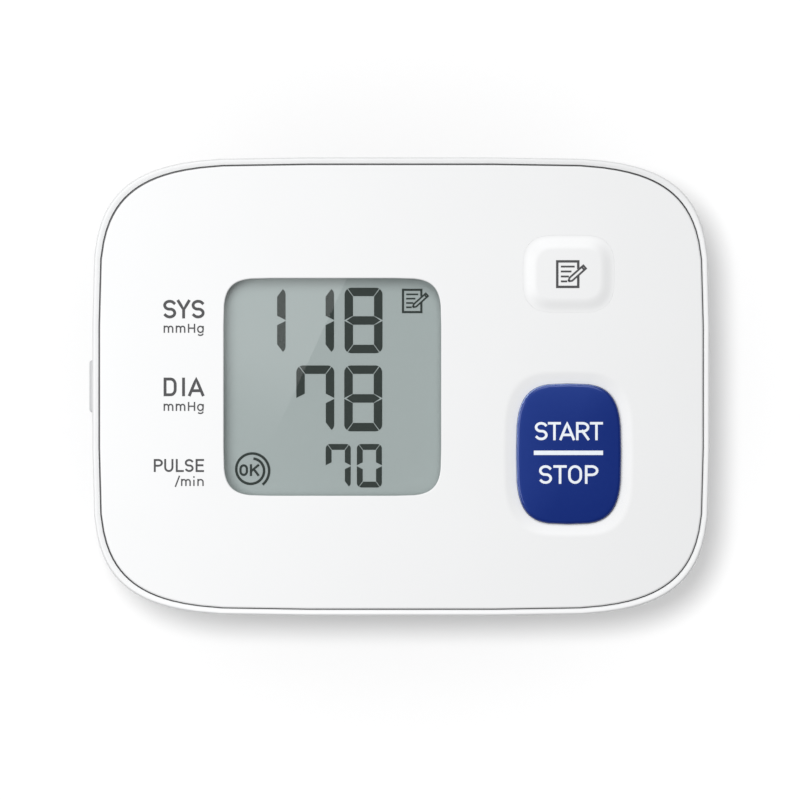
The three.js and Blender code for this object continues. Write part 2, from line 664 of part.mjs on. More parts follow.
const lcdHalfX = WINDOW_WIDTH / 2 + LCD_LAP;
const lcdHalfY = WINDOW_HEIGHT / 2 + LCD_LAP;

function makeDisplay(parent) {
  const lensOutline = grown(windowOutline, LENS_LAP);
  piece('lcd_window', plate(lensOutline, lensBottom, lensTop, SMALL_CORNER_STEPS), clearPlastic, parent);

  const lcdLow = [WINDOW_X - lcdHalfX, -lcdHalfY, lcdBottom];
  const lcdHigh = [WINDOW_X + lcdHalfX, lcdHalfY, lcdTop];
  piece('lcd_panel', block(lcdLow, lcdHigh), displayGlass, parent);

  const pocketX = lcdHalfX + SLIDE_FIT;
  const pocketY = lcdHalfY + SLIDE_FIT;
  const openX = lcdHalfX - HOLDER_LEDGE;
  const frame = block(
    [WINDOW_X - holderHalfX, -holderHalfY, holderBottom],
    [WINDOW_X + holderHalfX, holderHalfY, lcdTop - SEAT_GAP],
  );
  const pocket = block(
    [WINDOW_X - pocketX, -pocketY, lcdBottom - SEAT_GAP],
    [WINDOW_X + pocketX, pocketY, front],
  );
  const opening = block([WINDOW_X - openX, -pocketY, 0], [WINDOW_X + openX, pocketY, front]);
  const pegs = [-1, 1].map((side) => {
    const x = WINDOW_X + holderHalfX - HOLDER_WALL / 2;
    const y = side * (holderHalfY - HOLDER_PEG);
    const low = [x - HOLDER_WALL / 2, y - HOLDER_PEG / 2, boardTop + SEAT_GAP];
    const high = [x + HOLDER_WALL / 2, y + HOLDER_PEG / 2, holderBottom + HOLDER_WALL / 2];
    return block(low, high);
  });
  piece('lcd_holder', join(cut(frame, pocket, opening), ...pegs), blackPlastic, parent);

  const stripLeft = Math.max(boardLeft, WINDOW_X - openX) + ZEBRA_EDGE;
  const stripRight = WINDOW_X + openX - ZEBRA_EDGE;
  const stripHigh = zebraBottom + ZEBRA_HEIGHT;
  const strips = { zebra_strip_upper: 1, zebra_strip_lower: -1 };
  Object.entries(strips).forEach(([name, side]) => {
    const middle = side * (lcdHalfY - ZEBRA_EDGE - ZEBRA_WIDTH / 2);
    const low = [stripLeft, middle - ZEBRA_WIDTH / 2, zebraBottom];
    piece(name, block(low, [stripRight, middle + ZEBRA_WIDTH / 2, stripHigh]), darkRubber, parent);
  });
}

// Keys and switches

const switchTop = boardTop + SEAT_GAP + SWITCH_HEIGHT;
const plungerTop = switchTop + PLUNGER_RISE;
const plungerBottom = boardTop + SEAT_GAP + SWITCH_BASE + KEY_TRAVEL + SLIDE_FIT;
const flangeTop = panelBack - SEAT_GAP;
const flangeBottom = flangeTop - KEY_FLANGE_THICKNESS;

// Key with a flange behind the panel and a post down to the switch
function makeKey(name, outline, topLevels, y, material, parent) {
  const flange = plate(grown(outline, KEY_FLANGE_LAP), flangeBottom, flangeTop, SMALL_CORNER_STEPS);
  const stem = loft(outline, [{ inset: 0, z: flangeBottom }, ...topLevels], SMALL_CORNER_STEPS);
  const postBottom = plungerTop + SEAT_GAP;
  const post = bar('z', [keyX, y, postBottom], flangeTop - postBottom, KEY_POST_RADIUS);
  piece(name, join(flange, stem, post), material, parent);
}

function makeKeys(parent) {
  const edge = { inset: 0, z: front - START_EDGE_DROP };
  const shoulder = { inset: START_EDGE_ROUND, z: front + START_SHOULDER };
  const crown = { inset: START_CROWN_INSET, z: front + START_DOME };
  const startLevels = [...rounding(edge, shoulder), ...rounding(shoulder, crown).slice(1)];
  makeKey('start_button', startOutline, startLevels, START_Y, bluePlastic, parent);
  const memoryLevels = slope({ inset: 0, z: front }, { inset: MEMORY_SLOPE, z: front + MEMORY_RISE });
  makeKey('memory_button', memoryOutline, memoryLevels, MEMORY_Y, whitePlastic, parent);
}

function makeSwitch(prefix, y, parent) {
  const half = SWITCH_SIZE / 2;
  const bottom = boardTop + SEAT_GAP;
  const body = block([keyX - half, y - half, bottom], [keyX + half, y + half, switchTop]);
  const bore = bar('z', [keyX, y, bottom + SWITCH_BASE], SWITCH_HEIGHT, PLUNGER_RADIUS + SLIDE_FIT);
  piece(prefix + '_switch', cut(body, bore), blackPlastic, parent);
  const plunger = bar('z', [keyX, y, plungerBottom], plungerTop - plungerBottom, PLUNGER_RADIUS);
  piece(prefix + '_plunger', plunger, greyPlastic, parent);
}

// Circuit board and what is soldered to it

function makeBoard(parent) {
  const slab = block(
    [boardLeft, -CASE_HEIGHT, boardBottom],
    [CASE_WIDTH, CASE_HEIGHT, boardTop],
  ).intersect(caseCavity(BOARD_MARGIN, ledge));
  const bossHoles = caseScrewPlaces.map(([x, y]) => {
    return bar('z', [x, y, 0], front, BOSS_RADIUS + PASS_GAP);
  });
  const screwHoles = boardPostPlaces.map(([x, y]) => {
    return bar('z', [x, y, 0], front, SCREW_RADIUS + SLIDE_FIT);
  });
  piece('main_board', cut(slab, ...bossHoles, ...screwHoles), boardGreen, parent);

  const chipHalf = CHIP_SIZE / 2;
  const chipY = (START_Y + MEMORY_Y) / 2;
  const chipX = boardPostRight - SCREW_HEAD_RADIUS - CHIP_CLEAR - chipHalf;
  const chipLow = [chipX - chipHalf, chipY - chipHalf, boardTop + SEAT_GAP];
  const chipHigh = [chipX + chipHalf, chipY + chipHalf, boardTop + SEAT_GAP + CHIP_HEIGHT];
  piece('processor', block(chipLow, chipHigh), blackPlastic, parent);

  const sensorHalf = SENSOR_SIZE / 2;
  const sensorTop = boardBottom - SEAT_GAP;
  const sensorBottom = sensorTop - SENSOR_HEIGHT;
  const sensorBody = block(
    [sensorX - sensorHalf, MANIFOLD_Y - sensorHalf, sensorBottom],
    [sensorX + sensorHalf, MANIFOLD_Y + sensorHalf, sensorTop],
  );
  const nozzleStart = [sensorX, MANIFOLD_Y, sensorBottom - SPIGOT_LENGTH / 2];
  const nozzleReach = SPIGOT_LENGTH / 2 + SENSOR_HEIGHT / 2;
  const nozzle = bar('z', nozzleStart, nozzleReach, spigotRadius, TUBE_SIDES);
  const nozzleBore = bar('z', nozzleStart, nozzleReach, AIR_BORE_RADIUS, TUBE_SIDES);
  piece('pressure_sensor', cut(join(sensorBody, nozzle), nozzleBore), greyPlastic, parent);

  const bend = new THREE.CubicBezierCurve3(
    new THREE.Vector3(sensorX, MANIFOLD_Y, sensorBottom - SEAT_GAP),
    new THREE.Vector3(sensorX, MANIFOLD_Y, airZ),
    new THREE.Vector3(sensorX, MANIFOLD_Y, airZ),
    new THREE.Vector3(manifoldLeft - SEAT_GAP, MANIFOLD_Y, airZ),
  );
  piece('sensor_tube', hose(bend, tubeRadius, TUBE_BORE / 2, BEND_STEPS), clearSilicone, parent);
}

// Screws: modelled head down at the origin, then placed

function screwShape(length) {
  const head = bar('z', [0, 0, -SCREW_HEAD_HEIGHT], SCREW_HEAD_HEIGHT, SCREW_HEAD_RADIUS, SCREW_SIDES);
  const root = SCREW_HEAD_HEIGHT / 2;
  const shank = bar('z', [0, 0, -root], length + root, SCREW_RADIUS, SCREW_SIDES);
  const long = DRIVE_LENGTH / 2;
  const narrow = DRIVE_WIDTH / 2;
  const drive = [[long, narrow], [narrow, long]].map(([x, y]) => {
    return block([-x, -y, -2 * SCREW_HEAD_HEIGHT], [x, y, DRIVE_DEPTH - SCREW_HEAD_HEIGHT]);
  });
  return cut(join(head, shank), ...drive);
}

function makeScrews(parent) {
  caseScrewPlaces.forEach(([x, y], index) => {
    const screw = piece('case_screw_' + (index + 1), screwShape(CASE_SCREW_LENGTH), steel, parent);
    screw.position.set(x, y, HEAD_DEPTH - SEAT_GAP);
  });
  boardPostPlaces.forEach(([x, y], index) => {
    const screw = piece('board_screw_' + (index + 1), screwShape(BOARD_SCREW_LENGTH), steel, parent);
    screw.position.set(x, y, boardTop + SEAT_GAP);
    screw.rotation.x = Math.PI;
  });
}

// Air pump: motor, eccentric, diaphragm head and outlet cap, in line along Y

function makePump(parent) {
  const radius = PUMP_DIAMETER / 2;
  const can = bar('y', [pumpX, motorStart, pumpAxisZ], MOTOR_LENGTH, radius);
  const hollow = bar(
    'y',
    [pumpX, motorStart + MOTOR_WALL, pumpAxisZ],
    MOTOR_LENGTH - 2 * MOTOR_WALL,
    radius - MOTOR_WALL,
  );
  const shaftHole = bar('y', [pumpX, motorStart, pumpAxisZ], 2 * MOTOR_LENGTH, SHAFT_RADIUS + SLIDE_FIT);
  piece('motor_can', cut(can, hollow, shaftHole), steel, parent);

  const headBody = block(
    [pumpX - radius, headStart, pumpAxisZ - radius],
    [pumpX + radius, headStart + HEAD_LENGTH, pumpAxisZ + radius],
  );
  const chamber = bar('y', [pumpX, headStart - HEAD_WALL, pumpAxisZ], HEAD_LENGTH, radius - HEAD_WALL);
  piece('pump_head', cut(headBody, chamber), greyPlastic, parent);

  const sheet = block(
    [pumpX - radius, diaphragmStart, pumpAxisZ - radius],
    [pumpX + radius, diaphragmStart + DIAPHRAGM_THICKNESS, pumpAxisZ + radius],
  );
  piece('pump_diaphragm', sheet, darkRubber, parent);

  const capBody = block(
    [pumpX - radius, capStart, pumpAxisZ - radius],
    [pumpX + radius, capStart + CAP_LENGTH, pumpAxisZ + radius],
  );
  const spigotStart = [pumpX - radius - SPIGOT_LENGTH, MANIFOLD_Y, airZ];
  const spigot = bar('x', spigotStart, SPIGOT_LENGTH + radius, spigotRadius, TUBE_SIDES);
  const bores = [
    bar('x', spigotStart, SPIGOT_LENGTH + radius, AIR_BORE_RADIUS, TUBE_SIDES),
    bar('y', [pumpX, capStart, airZ], CAP_LENGTH / 2, AIR_BORE_RADIUS, TUBE_SIDES),
  ];
  piece('pump_cap', cut(join(capBody, spigot), ...bores), greyPlastic, parent);
}

// Turning part of the pump: rotor, shaft and eccentric, modelled on its own axis
function makeRotor(parent) {
  const rotorRadius = PUMP_DIAMETER / 2 - MOTOR_WALL - ROTOR_GAP;
  const rotorStart = MOTOR_WALL + ROTOR_GAP;
  const crankStart = MOTOR_LENGTH + SEAT_GAP + ROTOR_GAP;
  const rotor = bar('y', [0, rotorStart, 0], ROTOR_LENGTH, rotorRadius);
  const shaft = bar('y', [0, SEAT_GAP, 0], crankStart + CRANK_LENGTH / 2, SHAFT_RADIUS);
  const crank = bar('y', [CRANK_OFFSET, crankStart, 0], CRANK_LENGTH, CRANK_RADIUS);
  const made = piece('motor_rotor', join(rotor, shaft, crank), brass, parent);
  made.position.set(pumpX, motorStart, pumpAxisZ);
}

// Air line: a manifold with four spigots, straight tubes and the tube down to the cuff

function makeAirLine(parent) {
  const half = MANIFOLD_WIDTH / 2;
  const core = block(
    [manifoldLeft, MANIFOLD_Y - MANIFOLD_LENGTH / 2, airZ - half],
    [manifoldRight, manifoldTop, airZ + half],
  );
  const reach = SPIGOT_LENGTH + half;
  const branches = (radius) => [
    bar('x', [MANIFOLD_X - reach, MANIFOLD_Y, airZ], 2 * reach, radius, TUBE_SIDES),
    bar('y', [MANIFOLD_X, MANIFOLD_Y, airZ], MANIFOLD_LENGTH / 2 + SPIGOT_LENGTH, radius, TUBE_SIDES),
    bar('z', [MANIFOLD_X, MANIFOLD_Y, airZ - reach], reach, radius, TUBE_SIDES),
  ];
  const made = cut(join(core, ...branches(spigotRadius)), ...branches(AIR_BORE_RADIUS));
  piece('air_manifold', made, greyPlastic, parent);

  const run = TUBE_RUN - 2 * SEAT_GAP;
  const pumpTube = pipe(
    'x', [manifoldRight + SEAT_GAP, MANIFOLD_Y, airZ], run, tubeRadius, TUBE_BORE / 2, TUBE_SIDES,
  );
  piece('pump_tube', pumpTube, clearSilicone, parent);
  const valveTube = pipe(
    'y', [MANIFOLD_X, manifoldTop + SEAT_GAP, airZ], run, tubeRadius, TUBE_BORE / 2, TUBE_SIDES,
  );
  piece('valve_tube', valveTube, clearSilicone, parent);

  const tubeTop = airZ - half - SEAT_GAP;
  const tubeBottom = loopCentreZ + bladderOuter + SEAT_GAP - caseBottom;
  const cuffTube = pipe(
    'z', [MANIFOLD_X, MANIFOLD_Y, tubeBottom], tubeTop - tubeBottom, tubeRadius, TUBE_BORE / 2, TUBE_SIDES,
  );
  piece('cuff_tube', cuffTube, clearSilicone, parent);
}

// Exhaust valve: coil body with a bore, a sliding core on a spring, and an end cap

const valveBoreStart = valveStart + VALVE_LENGTH - VALVE_BORE_DEPTH;
const coreStart = valveBoreStart + SEAT_GAP;
const springStart = coreStart + PLUNGER_CORE_LENGTH + SEAT_GAP + SPRING_WIRE / 2;
const springEnd = valveStart + VALVE_LENGTH - SEAT_GAP - SPRING_WIRE / 2;

function makeValve(parent) {
  const half = VALVE_WIDTH / 2;
  const bodyBottom = CASE_FLOOR + PUMP_FLOOR_GAP;
  const valveZ = bodyBottom + half;
  const body = block(
    [MANIFOLD_X - half, valveStart, bodyBottom],
    [MANIFOLD_X + half, valveStart + VALVE_LENGTH, bodyBottom + VALVE_WIDTH],
  );
  const bore = bar('y', [MANIFOLD_X, valveBoreStart, valveZ], VALVE_LENGTH, VALVE_BORE_RADIUS);
  const spigotStart = [MANIFOLD_X, valveStart - SPIGOT_LENGTH, airZ];
  const spigot = bar('y', spigotStart, SPIGOT_LENGTH + SEAT_GAP, spigotRadius, TUBE_SIDES);
  const inletLength = valveBoreStart + SEAT_GAP - spigotStart[1];
  const inlet = bar('y', spigotStart, inletLength, AIR_BORE_RADIUS, TUBE_SIDES);
  piece('valve_body', cut(join(body, spigot), bore, inlet), blackPlastic, parent);

  const capStartY = valveStart + VALVE_LENGTH + SEAT_GAP;
  const lid = block(
    [MANIFOLD_X - half, capStartY, bodyBottom],
    [MANIFOLD_X + half, capStartY + VALVE_CAP_THICKNESS, bodyBottom + VALVE_WIDTH],
  );
  piece('valve_cap', lid, steel, parent);
  return valveZ;
}

function makeValveCore(valveZ, parent) {
  const coreRadius = VALVE_BORE_RADIUS - SLIDE_FIT;
  const core = bar('y', [MANIFOLD_X, coreStart, valveZ], PLUNGER_CORE_LENGTH, coreRadius);
  piece('valve_plunger', core, steel, parent);
}

class Helix extends THREE.Curve {
  constructor(radius, length, turns) {
    super();
    this.radius = radius;
    this.length = length;
    this.turns = turns;
  }

  getPoint(share, target = new THREE.Vector3()) {
    const angle = share * this.turns * 2 * Math.PI;
    return target.set(this.radius * Math.cos(angle), share * this.length, this.radius * Math.sin(angle));
  }
}

function makeValveSpring(valveZ, parent) {
  const radius = VALVE_BORE_RADIUS - SLIDE_FIT - SPRING_WIRE;
  const helix = new Helix(radius, springEnd - springStart, SPRING_TURNS);
  const points = helix.getPoints(STEPS_PER_TURN * SPRING_TURNS);
  const gaps = points.flatMap((point, index) => {
    const others = points.slice(index + STEPS_PER_TURN / 2);
    return others.map((other) => point.distanceTo(other) - SPRING_WIRE);
  });
  console.log('valve spring: least gap to itself ' + Math.min(...gaps).toFixed(2) + ' mm');
  const wire = Array.from({ length: WIRE_SIDES }, (_, side) => {
    const angle = (side / WIRE_SIDES) * 2 * Math.PI;
    return new THREE.Vector2(Math.cos(angle), Math.sin(angle)).multiplyScalar(SPRING_WIRE / 2);
  });
  const settings = { steps: STEPS_PER_TURN * SPRING_TURNS, bevelEnabled: false, extrudePath: helix };
  const coil = solid(new THREE.ExtrudeGeometry(new THREE.Shape(wire), settings));
  const made = piece('valve_spring', coil, steel, parent);
  made.position.set(MANIFOLD_X, springStart, valveZ);
}

// Batteries, their tray and contacts

// Cell with its nub towards +Y, modelled about its middle
function cellShape() {
  const can = BATTERY_LENGTH - BATTERY_NUB_LENGTH;
  const start = -BATTERY_LENGTH / 2;
  const radius = BATTERY_DIAMETER / 2;
  const body = bar('y', [0, start, 0], can, radius, CELL_SIDES);
  const nub = bar('y', [0, start, 0], BATTERY_LENGTH, BATTERY_NUB_RADIUS);
  return join(body, nub);
}

const nubTip = bayHalf - CONTACT_THICKNESS - 2 * SEAT_GAP;

// Tabs of two contacts stand up through the tray's roof at the lower end of the bay
const tabTop = trayTop + TAB_RISE;
const tabOuterY = -(bayHalf - SEAT_GAP);
const tabInnerY = tabOuterY + CONTACT_THICKNESS;

function contactTab(x) {
  return block([x - TAB_WIDTH / 2, tabOuterY, batteryZ], [x + TAB_WIDTH / 2, tabInnerY, tabTop]);
}

function makeBatteries(parent) {
  const offset = nubTip - BATTERY_LENGTH / 2;
  const outer = piece('battery_1', cellShape(), cellSleeve, parent);
  outer.position.set(outerCellX, offset, batteryZ);
  const inner = piece('battery_2', cellShape(), cellSleeve, parent);
  inner.position.set(innerCellX, -offset, batteryZ);
  inner.rotation.z = Math.PI;
}

function makeTray(parent) {
  const body = block(
    [-CASE_WIDTH, -bayHalf - TRAY_WALL, CASE_FLOOR + SEAT_GAP],
    [trayRight, bayHalf + TRAY_WALL, trayTop],
  );
  const bay = block([-2 * CASE_WIDTH, -bayHalf, 0], [trayInside, bayHalf, trayRoof]);
  const slots = [outerCellX, innerCellX].map((x) => {
    const half = TAB_WIDTH / 2 + PASS_GAP;
    return block([x - half, -bayHalf, batteryZ], [x + half, tabInnerY + PASS_GAP, tabTop]);
  });
  const made = cut(body, bay, ...slots).intersect(caseCavity(CUT_GAP, trayTop + CUT_GAP));
  piece('battery_tray', made, blackPlastic, parent);
}

// Flat contact against an end wall of the bay, facing the middle
function contactPlate(left, right, end) {
  const wall = end * (bayHalf - SEAT_GAP);
  const face = wall - end * CONTACT_THICKNESS;
  const half = CONTACT_HEIGHT / 2;
  return block(
    [left, Math.min(wall, face), batteryZ - half],
    [right, Math.max(wall, face), batteryZ + half],
  );
}

// Arched leaf that presses on a cell's negative end
function contactLeaf(x, end) {
  const base = bayHalf - SEAT_GAP - CONTACT_THICKNESS;
  const arch = (shrink) => {
    return Array.from({ length: LEAF_STEPS + 1 }, (_, step) => {
      const angle = (step / LEAF_STEPS) * Math.PI;
      const across = (LEAF_WIDTH / 2 - shrink) * Math.cos(angle);
      const depth = (LEAF_DEPTH - shrink) * Math.sin(angle) - CONTACT_THICKNESS / 2;
      return new THREE.Vector2(across, depth - base);
    });
  };
  const shape = new THREE.Shape([...arch(0), ...arch(CONTACT_THICKNESS).reverse()]);
  const geometry = new THREE.ExtrudeGeometry(shape, { depth: LEAF_HEIGHT, bevelEnabled: false });
  geometry.translate(0, 0, batteryZ - LEAF_HEIGHT / 2);
  if (end > 0) geometry.rotateZ(Math.PI);
  geometry.translate(x, 0, 0);
  return solid(geometry);
}

function makeContacts(parent) {
  const half = CONTACT_WIDTH / 2;
  const room = caseCavity(CUT_GAP, trayTop);
  const bridge = contactPlate(outerCellX - half, innerCellX + half, 1).intersect(room);
  piece('bridge_contact', join(bridge, contactLeaf(innerCellX, 1)), steel, parent);
  const negative = contactPlate(outerCellX - half, outerCellX + half, -1).intersect(room);
  const negativeShape = join(negative, contactLeaf(outerCellX, -1), contactTab(outerCellX));
  piece('negative_contact', negativeShape, steel, parent);
  const positive = contactPlate(innerCellX - half, innerCellX + half, -1);
  piece('positive_contact', join(positive, contactTab(innerCellX)), steel, parent);
}

// Leads from the battery tabs to the top of the board, and from the motor to its underside

function lead(name, points, material, parent) {
  const curve = new THREE.CatmullRomCurve3(points.map((point) => new THREE.Vector3(...point)));
  piece(name, hose(curve, LEAD_RADIUS, 0, LEAD_STEPS), material, parent);
}

function makeLeads(parent) {
  const tabY = (tabOuterY + tabInnerY) / 2;
  const laneY = -(leftScrewY + BOSS_RADIUS + LEAD_CLEAR + LEAD_RADIUS);
  const lowLane = trayTop + CUT_GAP + LEAD_RADIUS;
  const highLane = lowLane + LEAD_SPACING;
  const nearX = leftScrewX + BOSS_RADIUS + LEAD_SPACING;
  const farX = nearX + 2 * LEAD_SPACING;
  lead('negative_lead', [
    [outerCellX, tabY, tabTop + CUT_GAP],
    [outerCellX, tabY, tabTop + LEAD_RISE],
    [(outerCellX + innerCellX) / 2, laneY, lowLane],
    [leftScrewX, laneY, lowLane],
    [nearX, laneY, boardTop + LEAD_RISE],
    [nearX, laneY, boardTop + CUT_GAP],
  ], blackLead, parent);
  lead('positive_lead', [
    [innerCellX, tabY, tabTop + CUT_GAP],
    [innerCellX, tabY, highLane],
    [(innerCellX + leftScrewX) / 2, laneY, highLane],
    [nearX, laneY, highLane],
    [farX, laneY, boardTop + LEAD_RISE],
    [farX, laneY, boardTop + CUT_GAP],
  ], redLead, parent);
  const motorLeads = { motor_lead_1: -MOTOR_LEAD_OFFSET, motor_lead_2: MOTOR_LEAD_OFFSET };
  Object.entries(motorLeads).forEach(([name, offset]) => {
    const x = pumpX + offset;
    const bend = motorStart - MOTOR_LEAD_REACH;
    lead(name, [
      [x, motorStart - CUT_GAP, pumpAxisZ],
      [x, (motorStart + bend) / 2, pumpAxisZ],
      [x, bend, (pumpAxisZ + boardBottom) / 2],
      [x, bend, boardBottom - CUT_GAP],
    ], offset < 0 ? redLead : blackLead, parent);
  });
}

// Cuff: layers of one loop, drawn about the loop's middle

// Point of the loop at an angle and a distance from the line that its round ends turn about
function loopPoint(degrees, radius) {
  const angle = (degrees * Math.PI) / 180;
  const side = Math.sign(Math.round(Math.cos(angle) * 1e6));
  return new THREE.Vector2(side * WRIST_FLAT + radius * Math.cos(angle), radius * Math.sin(angle));
}

// Line along the loop from one angle to another, with both ends of each flat stretch
function loopLine(from, to, radius) {
  const flats = [90, 270].filter((angle) => angle > from && angle < to);
  const stops = [from, ...flats, to];
  return stops.slice(1).flatMap((stop, index) => {
    const start = stops[index];
    const steps = Math.max(1, Math.ceil((stop - start) / BAND_STEP_ANGLE));
    const nudge = 0.001;
    const begin = start === from ? start : start + nudge;
    const end = stop === to ? stop : stop - nudge;
    return Array.from({ length: steps + 1 }, (_, step) => {
      return loopPoint(begin + ((end - begin) * step) / steps, radius);
    });
  });
}

function band(from, to, inner, outer, width) {
  return yExtrusion([...loopLine(from, to, outer), ...loopLine(from, to, inner).reverse()], width);
}

// Fabric pocket: an outer sheet with side and end walls, open towards the wrist
function pocketBand(from, to, outer) {
  const hollowWidth = CUFF_WIDTH - 2 * SHEATH_THICKNESS;
  const innermost = liningOuter + LAYER_GAP;
  const whole = band(from, to, innermost, outer, CUFF_WIDTH);
  const hollow = band(from + SHEATH_END_ANGLE, to - SHEATH_END_ANGLE, WRIST_RADIUS, sheathInner, hollowWidth);
  return cut(whole, hollow);
}

const fillWidth = CUFF_WIDTH - 2 * SHEATH_THICKNESS - 2 * LAYER_GAP;
const fillFrom = CUFF_RIGHT_ANGLE + SHEATH_END_ANGLE + 1;
const fillTo = CUFF_LEFT_ANGLE - SHEATH_END_ANGLE - 1;

function makeCuff(parent) {
  const airHole = bar('z', [MANIFOLD_X, MANIFOLD_Y, 0], 2 * strapOuter, tubeRadius + PASS_GAP);

  const sheath = cut(pocketBand(CUFF_RIGHT_ANGLE, CUFF_LEFT_ANGLE, sheathOuter), airHole);
  piece('cuff_sheath', sheath, greyFabric, parent);
  const curler = cut(band(fillFrom, fillTo, curlerInner, curlerOuter, fillWidth), airHole);
  piece('cuff_curler', curler, whitePlastic, parent);

  const spigotStart = [MANIFOLD_X, MANIFOLD_Y, bladderInner + BLADDER_THICKNESS / 2];
  const spigotLength = BLADDER_THICKNESS / 2 + SPIGOT_LENGTH;
  const spigot = bar('z', spigotStart, spigotLength, spigotRadius, TUBE_SIDES);
  const bag = band(fillFrom, fillTo, bladderInner, bladderOuter, fillWidth);
  piece('air_bladder', join(bag, spigot), bladderFilm, parent);

  const lining = band(CUFF_RIGHT_ANGLE, CUFF_LEFT_ANGLE, WRIST_RADIUS, liningOuter, CUFF_WIDTH);
  piece('cuff_lining', lining, darkFabric, parent);
}

// Flap that closes the loop, with the strap that is sewn to it
function makeFlap(parent) {
  const from = CUFF_LEFT_ANGLE + FOLD_ANGLE;
  piece('flap_sheath', pocketBand(from, FLAP_END_ANGLE, flapOuter), greyFabric, parent);
  const pad = band(from + SHEATH_END_ANGLE + 1, FLAP_END_ANGLE - SHEATH_END_ANGLE - 1, bladderInner, curlerOuter, fillWidth);
  piece('flap_pad', pad, bladderFilm, parent);
  const lining = band(from, FLAP_END_ANGLE, WRIST_RADIUS, liningOuter, CUFF_WIDTH);
  piece('flap_lining', lining, darkFabric, parent);
  piece('cuff_strap', band(STRAP_START_ANGLE, STRAP_END_ANGLE, strapInner, strapOuter, STRAP_WIDTH), greyFabric, parent);
  const hooks = band(HOOK_START_ANGLE, HOOK_END_ANGLE, hookInner, hookInner + HOOK_THICKNESS, HOOK_WIDTH);
  piece('hook_pad', hooks, darkFabric, parent);
}

// Saddle between the flat rear of the case and the round of the cuff, with hooks into the case floor
function makeSaddle(parent) {
  const radius = sheathOuter + LAYER_GAP;
  const top = radius + SADDLE_THICKNESS;
  const span = SADDLE_REACH - WRIST_FLAT;
  const tipAngle = (Math.asin(span / radius) * 180) / Math.PI;
  const under = loopLine(90 - tipAngle, 90 + tipAngle, radius);
  const corner = under[0].y - SADDLE_TIP;
  const profile = [
    ...under,
    new THREE.Vector2(-SADDLE_REACH - SADDLE_TIP, corner + SADDLE_TIP),
    new THREE.Vector2(-SADDLE_REACH - SADDLE_TIP, top),
    new THREE.Vector2(SADDLE_REACH + SADDLE_TIP, top),
    new THREE.Vector2(SADDLE_REACH + SADDLE_TIP, corner + SADDLE_TIP),
  ];
  const body = yExtrusion(profile.reverse(), SADDLE_LENGTH);
  const floorTop = top + SEAT_GAP + CASE_FLOOR;
  const hooks = saddleHookPlaces.flatMap(([x, y, side]) => {
    const halfX = SADDLE_HOOK_THICKNESS / 2;
    const halfY = SADDLE_HOOK_WIDTH / 2;
    const barbLow = floorTop + SLIDE_FIT;
    const barbHigh = barbLow + SADDLE_HOOK_BARB;
    const barbX = [x + side * halfX, x + side * barbReach];
    const stem = block([x - halfX, y - halfY, top - SADDLE_TIP], [x + halfX, y + halfY, barbHigh]);
    const barb = block(
      [Math.min(x, ...barbX), y - halfY, barbLow],
      [Math.max(x, ...barbX), y + halfY, barbHigh],
    );
    return [stem, barb];
  });
  const airHole = bar('z', [MANIFOLD_X, MANIFOLD_Y, 0], 2 * top, tubeRadius + PASS_GAP);
  const headHoles = caseScrewPlaces.map(([x, y]) => {
    return bar('z', [x, y, 0], 2 * top, SCREW_HEAD_RADIUS + PASS_GAP);
  });
  piece('cuff_saddle', cut(join(body, ...hooks), airHole, ...headHoles), greyPlastic, parent);
}

// Assembly

const monitor = new THREE.Group();
const caseGroup = new THREE.Group();
caseGroup.position.z = caseBottom;
const cuffGroup = new THREE.Group();
cuffGroup.position.z = loopCentreZ;
monitor.add(caseGroup, cuffGroup);

makeRearCase(caseGroup);
makeFrontCover(caseGroup);
makeBatteryCover(caseGroup);
makeDisplay(caseGroup);
makeKeys(caseGroup);
makeSwitch('start', START_Y, caseGroup);
makeSwitch('memory', MEMORY_Y, caseGroup);
makeBoard(caseGroup);
makeScrews(caseGroup);
makePump(caseGroup);
makeRotor(caseGroup);
makeAirLine(caseGroup);
const valveAxisZ = makeValve(caseGroup);
makeValveCore(valveAxisZ, caseGroup);
makeValveSpring(valveAxisZ, caseGroup);
makeBatteries(caseGroup);
makeTray(caseGroup);
makeContacts(caseGroup);
makeLeads(caseGroup);
makeCuff(cuffGroup);
makeFlap(cuffGroup);
makeSaddle(cuffGroup);

export default monitor;
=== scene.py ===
import json
import math
import bmesh
import bpy
from mathutils import Matrix, Vector, noise


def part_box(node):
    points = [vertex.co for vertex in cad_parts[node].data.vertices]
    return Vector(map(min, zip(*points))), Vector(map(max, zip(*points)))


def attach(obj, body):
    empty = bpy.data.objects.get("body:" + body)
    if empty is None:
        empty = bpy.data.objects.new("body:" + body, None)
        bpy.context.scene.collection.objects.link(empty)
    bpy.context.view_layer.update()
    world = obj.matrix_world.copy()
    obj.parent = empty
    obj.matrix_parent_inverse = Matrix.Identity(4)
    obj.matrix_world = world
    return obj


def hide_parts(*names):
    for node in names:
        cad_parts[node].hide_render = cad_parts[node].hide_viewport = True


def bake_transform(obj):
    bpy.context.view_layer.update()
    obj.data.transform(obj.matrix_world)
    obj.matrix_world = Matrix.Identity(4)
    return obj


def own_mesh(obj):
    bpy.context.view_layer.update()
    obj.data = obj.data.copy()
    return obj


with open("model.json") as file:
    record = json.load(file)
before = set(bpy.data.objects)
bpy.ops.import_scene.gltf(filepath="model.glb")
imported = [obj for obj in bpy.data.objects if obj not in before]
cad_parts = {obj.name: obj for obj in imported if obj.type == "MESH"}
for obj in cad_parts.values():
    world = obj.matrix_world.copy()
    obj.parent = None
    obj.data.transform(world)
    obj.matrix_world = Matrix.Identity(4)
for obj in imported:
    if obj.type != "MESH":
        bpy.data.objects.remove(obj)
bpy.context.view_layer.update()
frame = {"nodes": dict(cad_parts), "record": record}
cadNodes = frame["nodes"]
mm = 0.001
print("frame loaded with", len(cadNodes), "nodes")


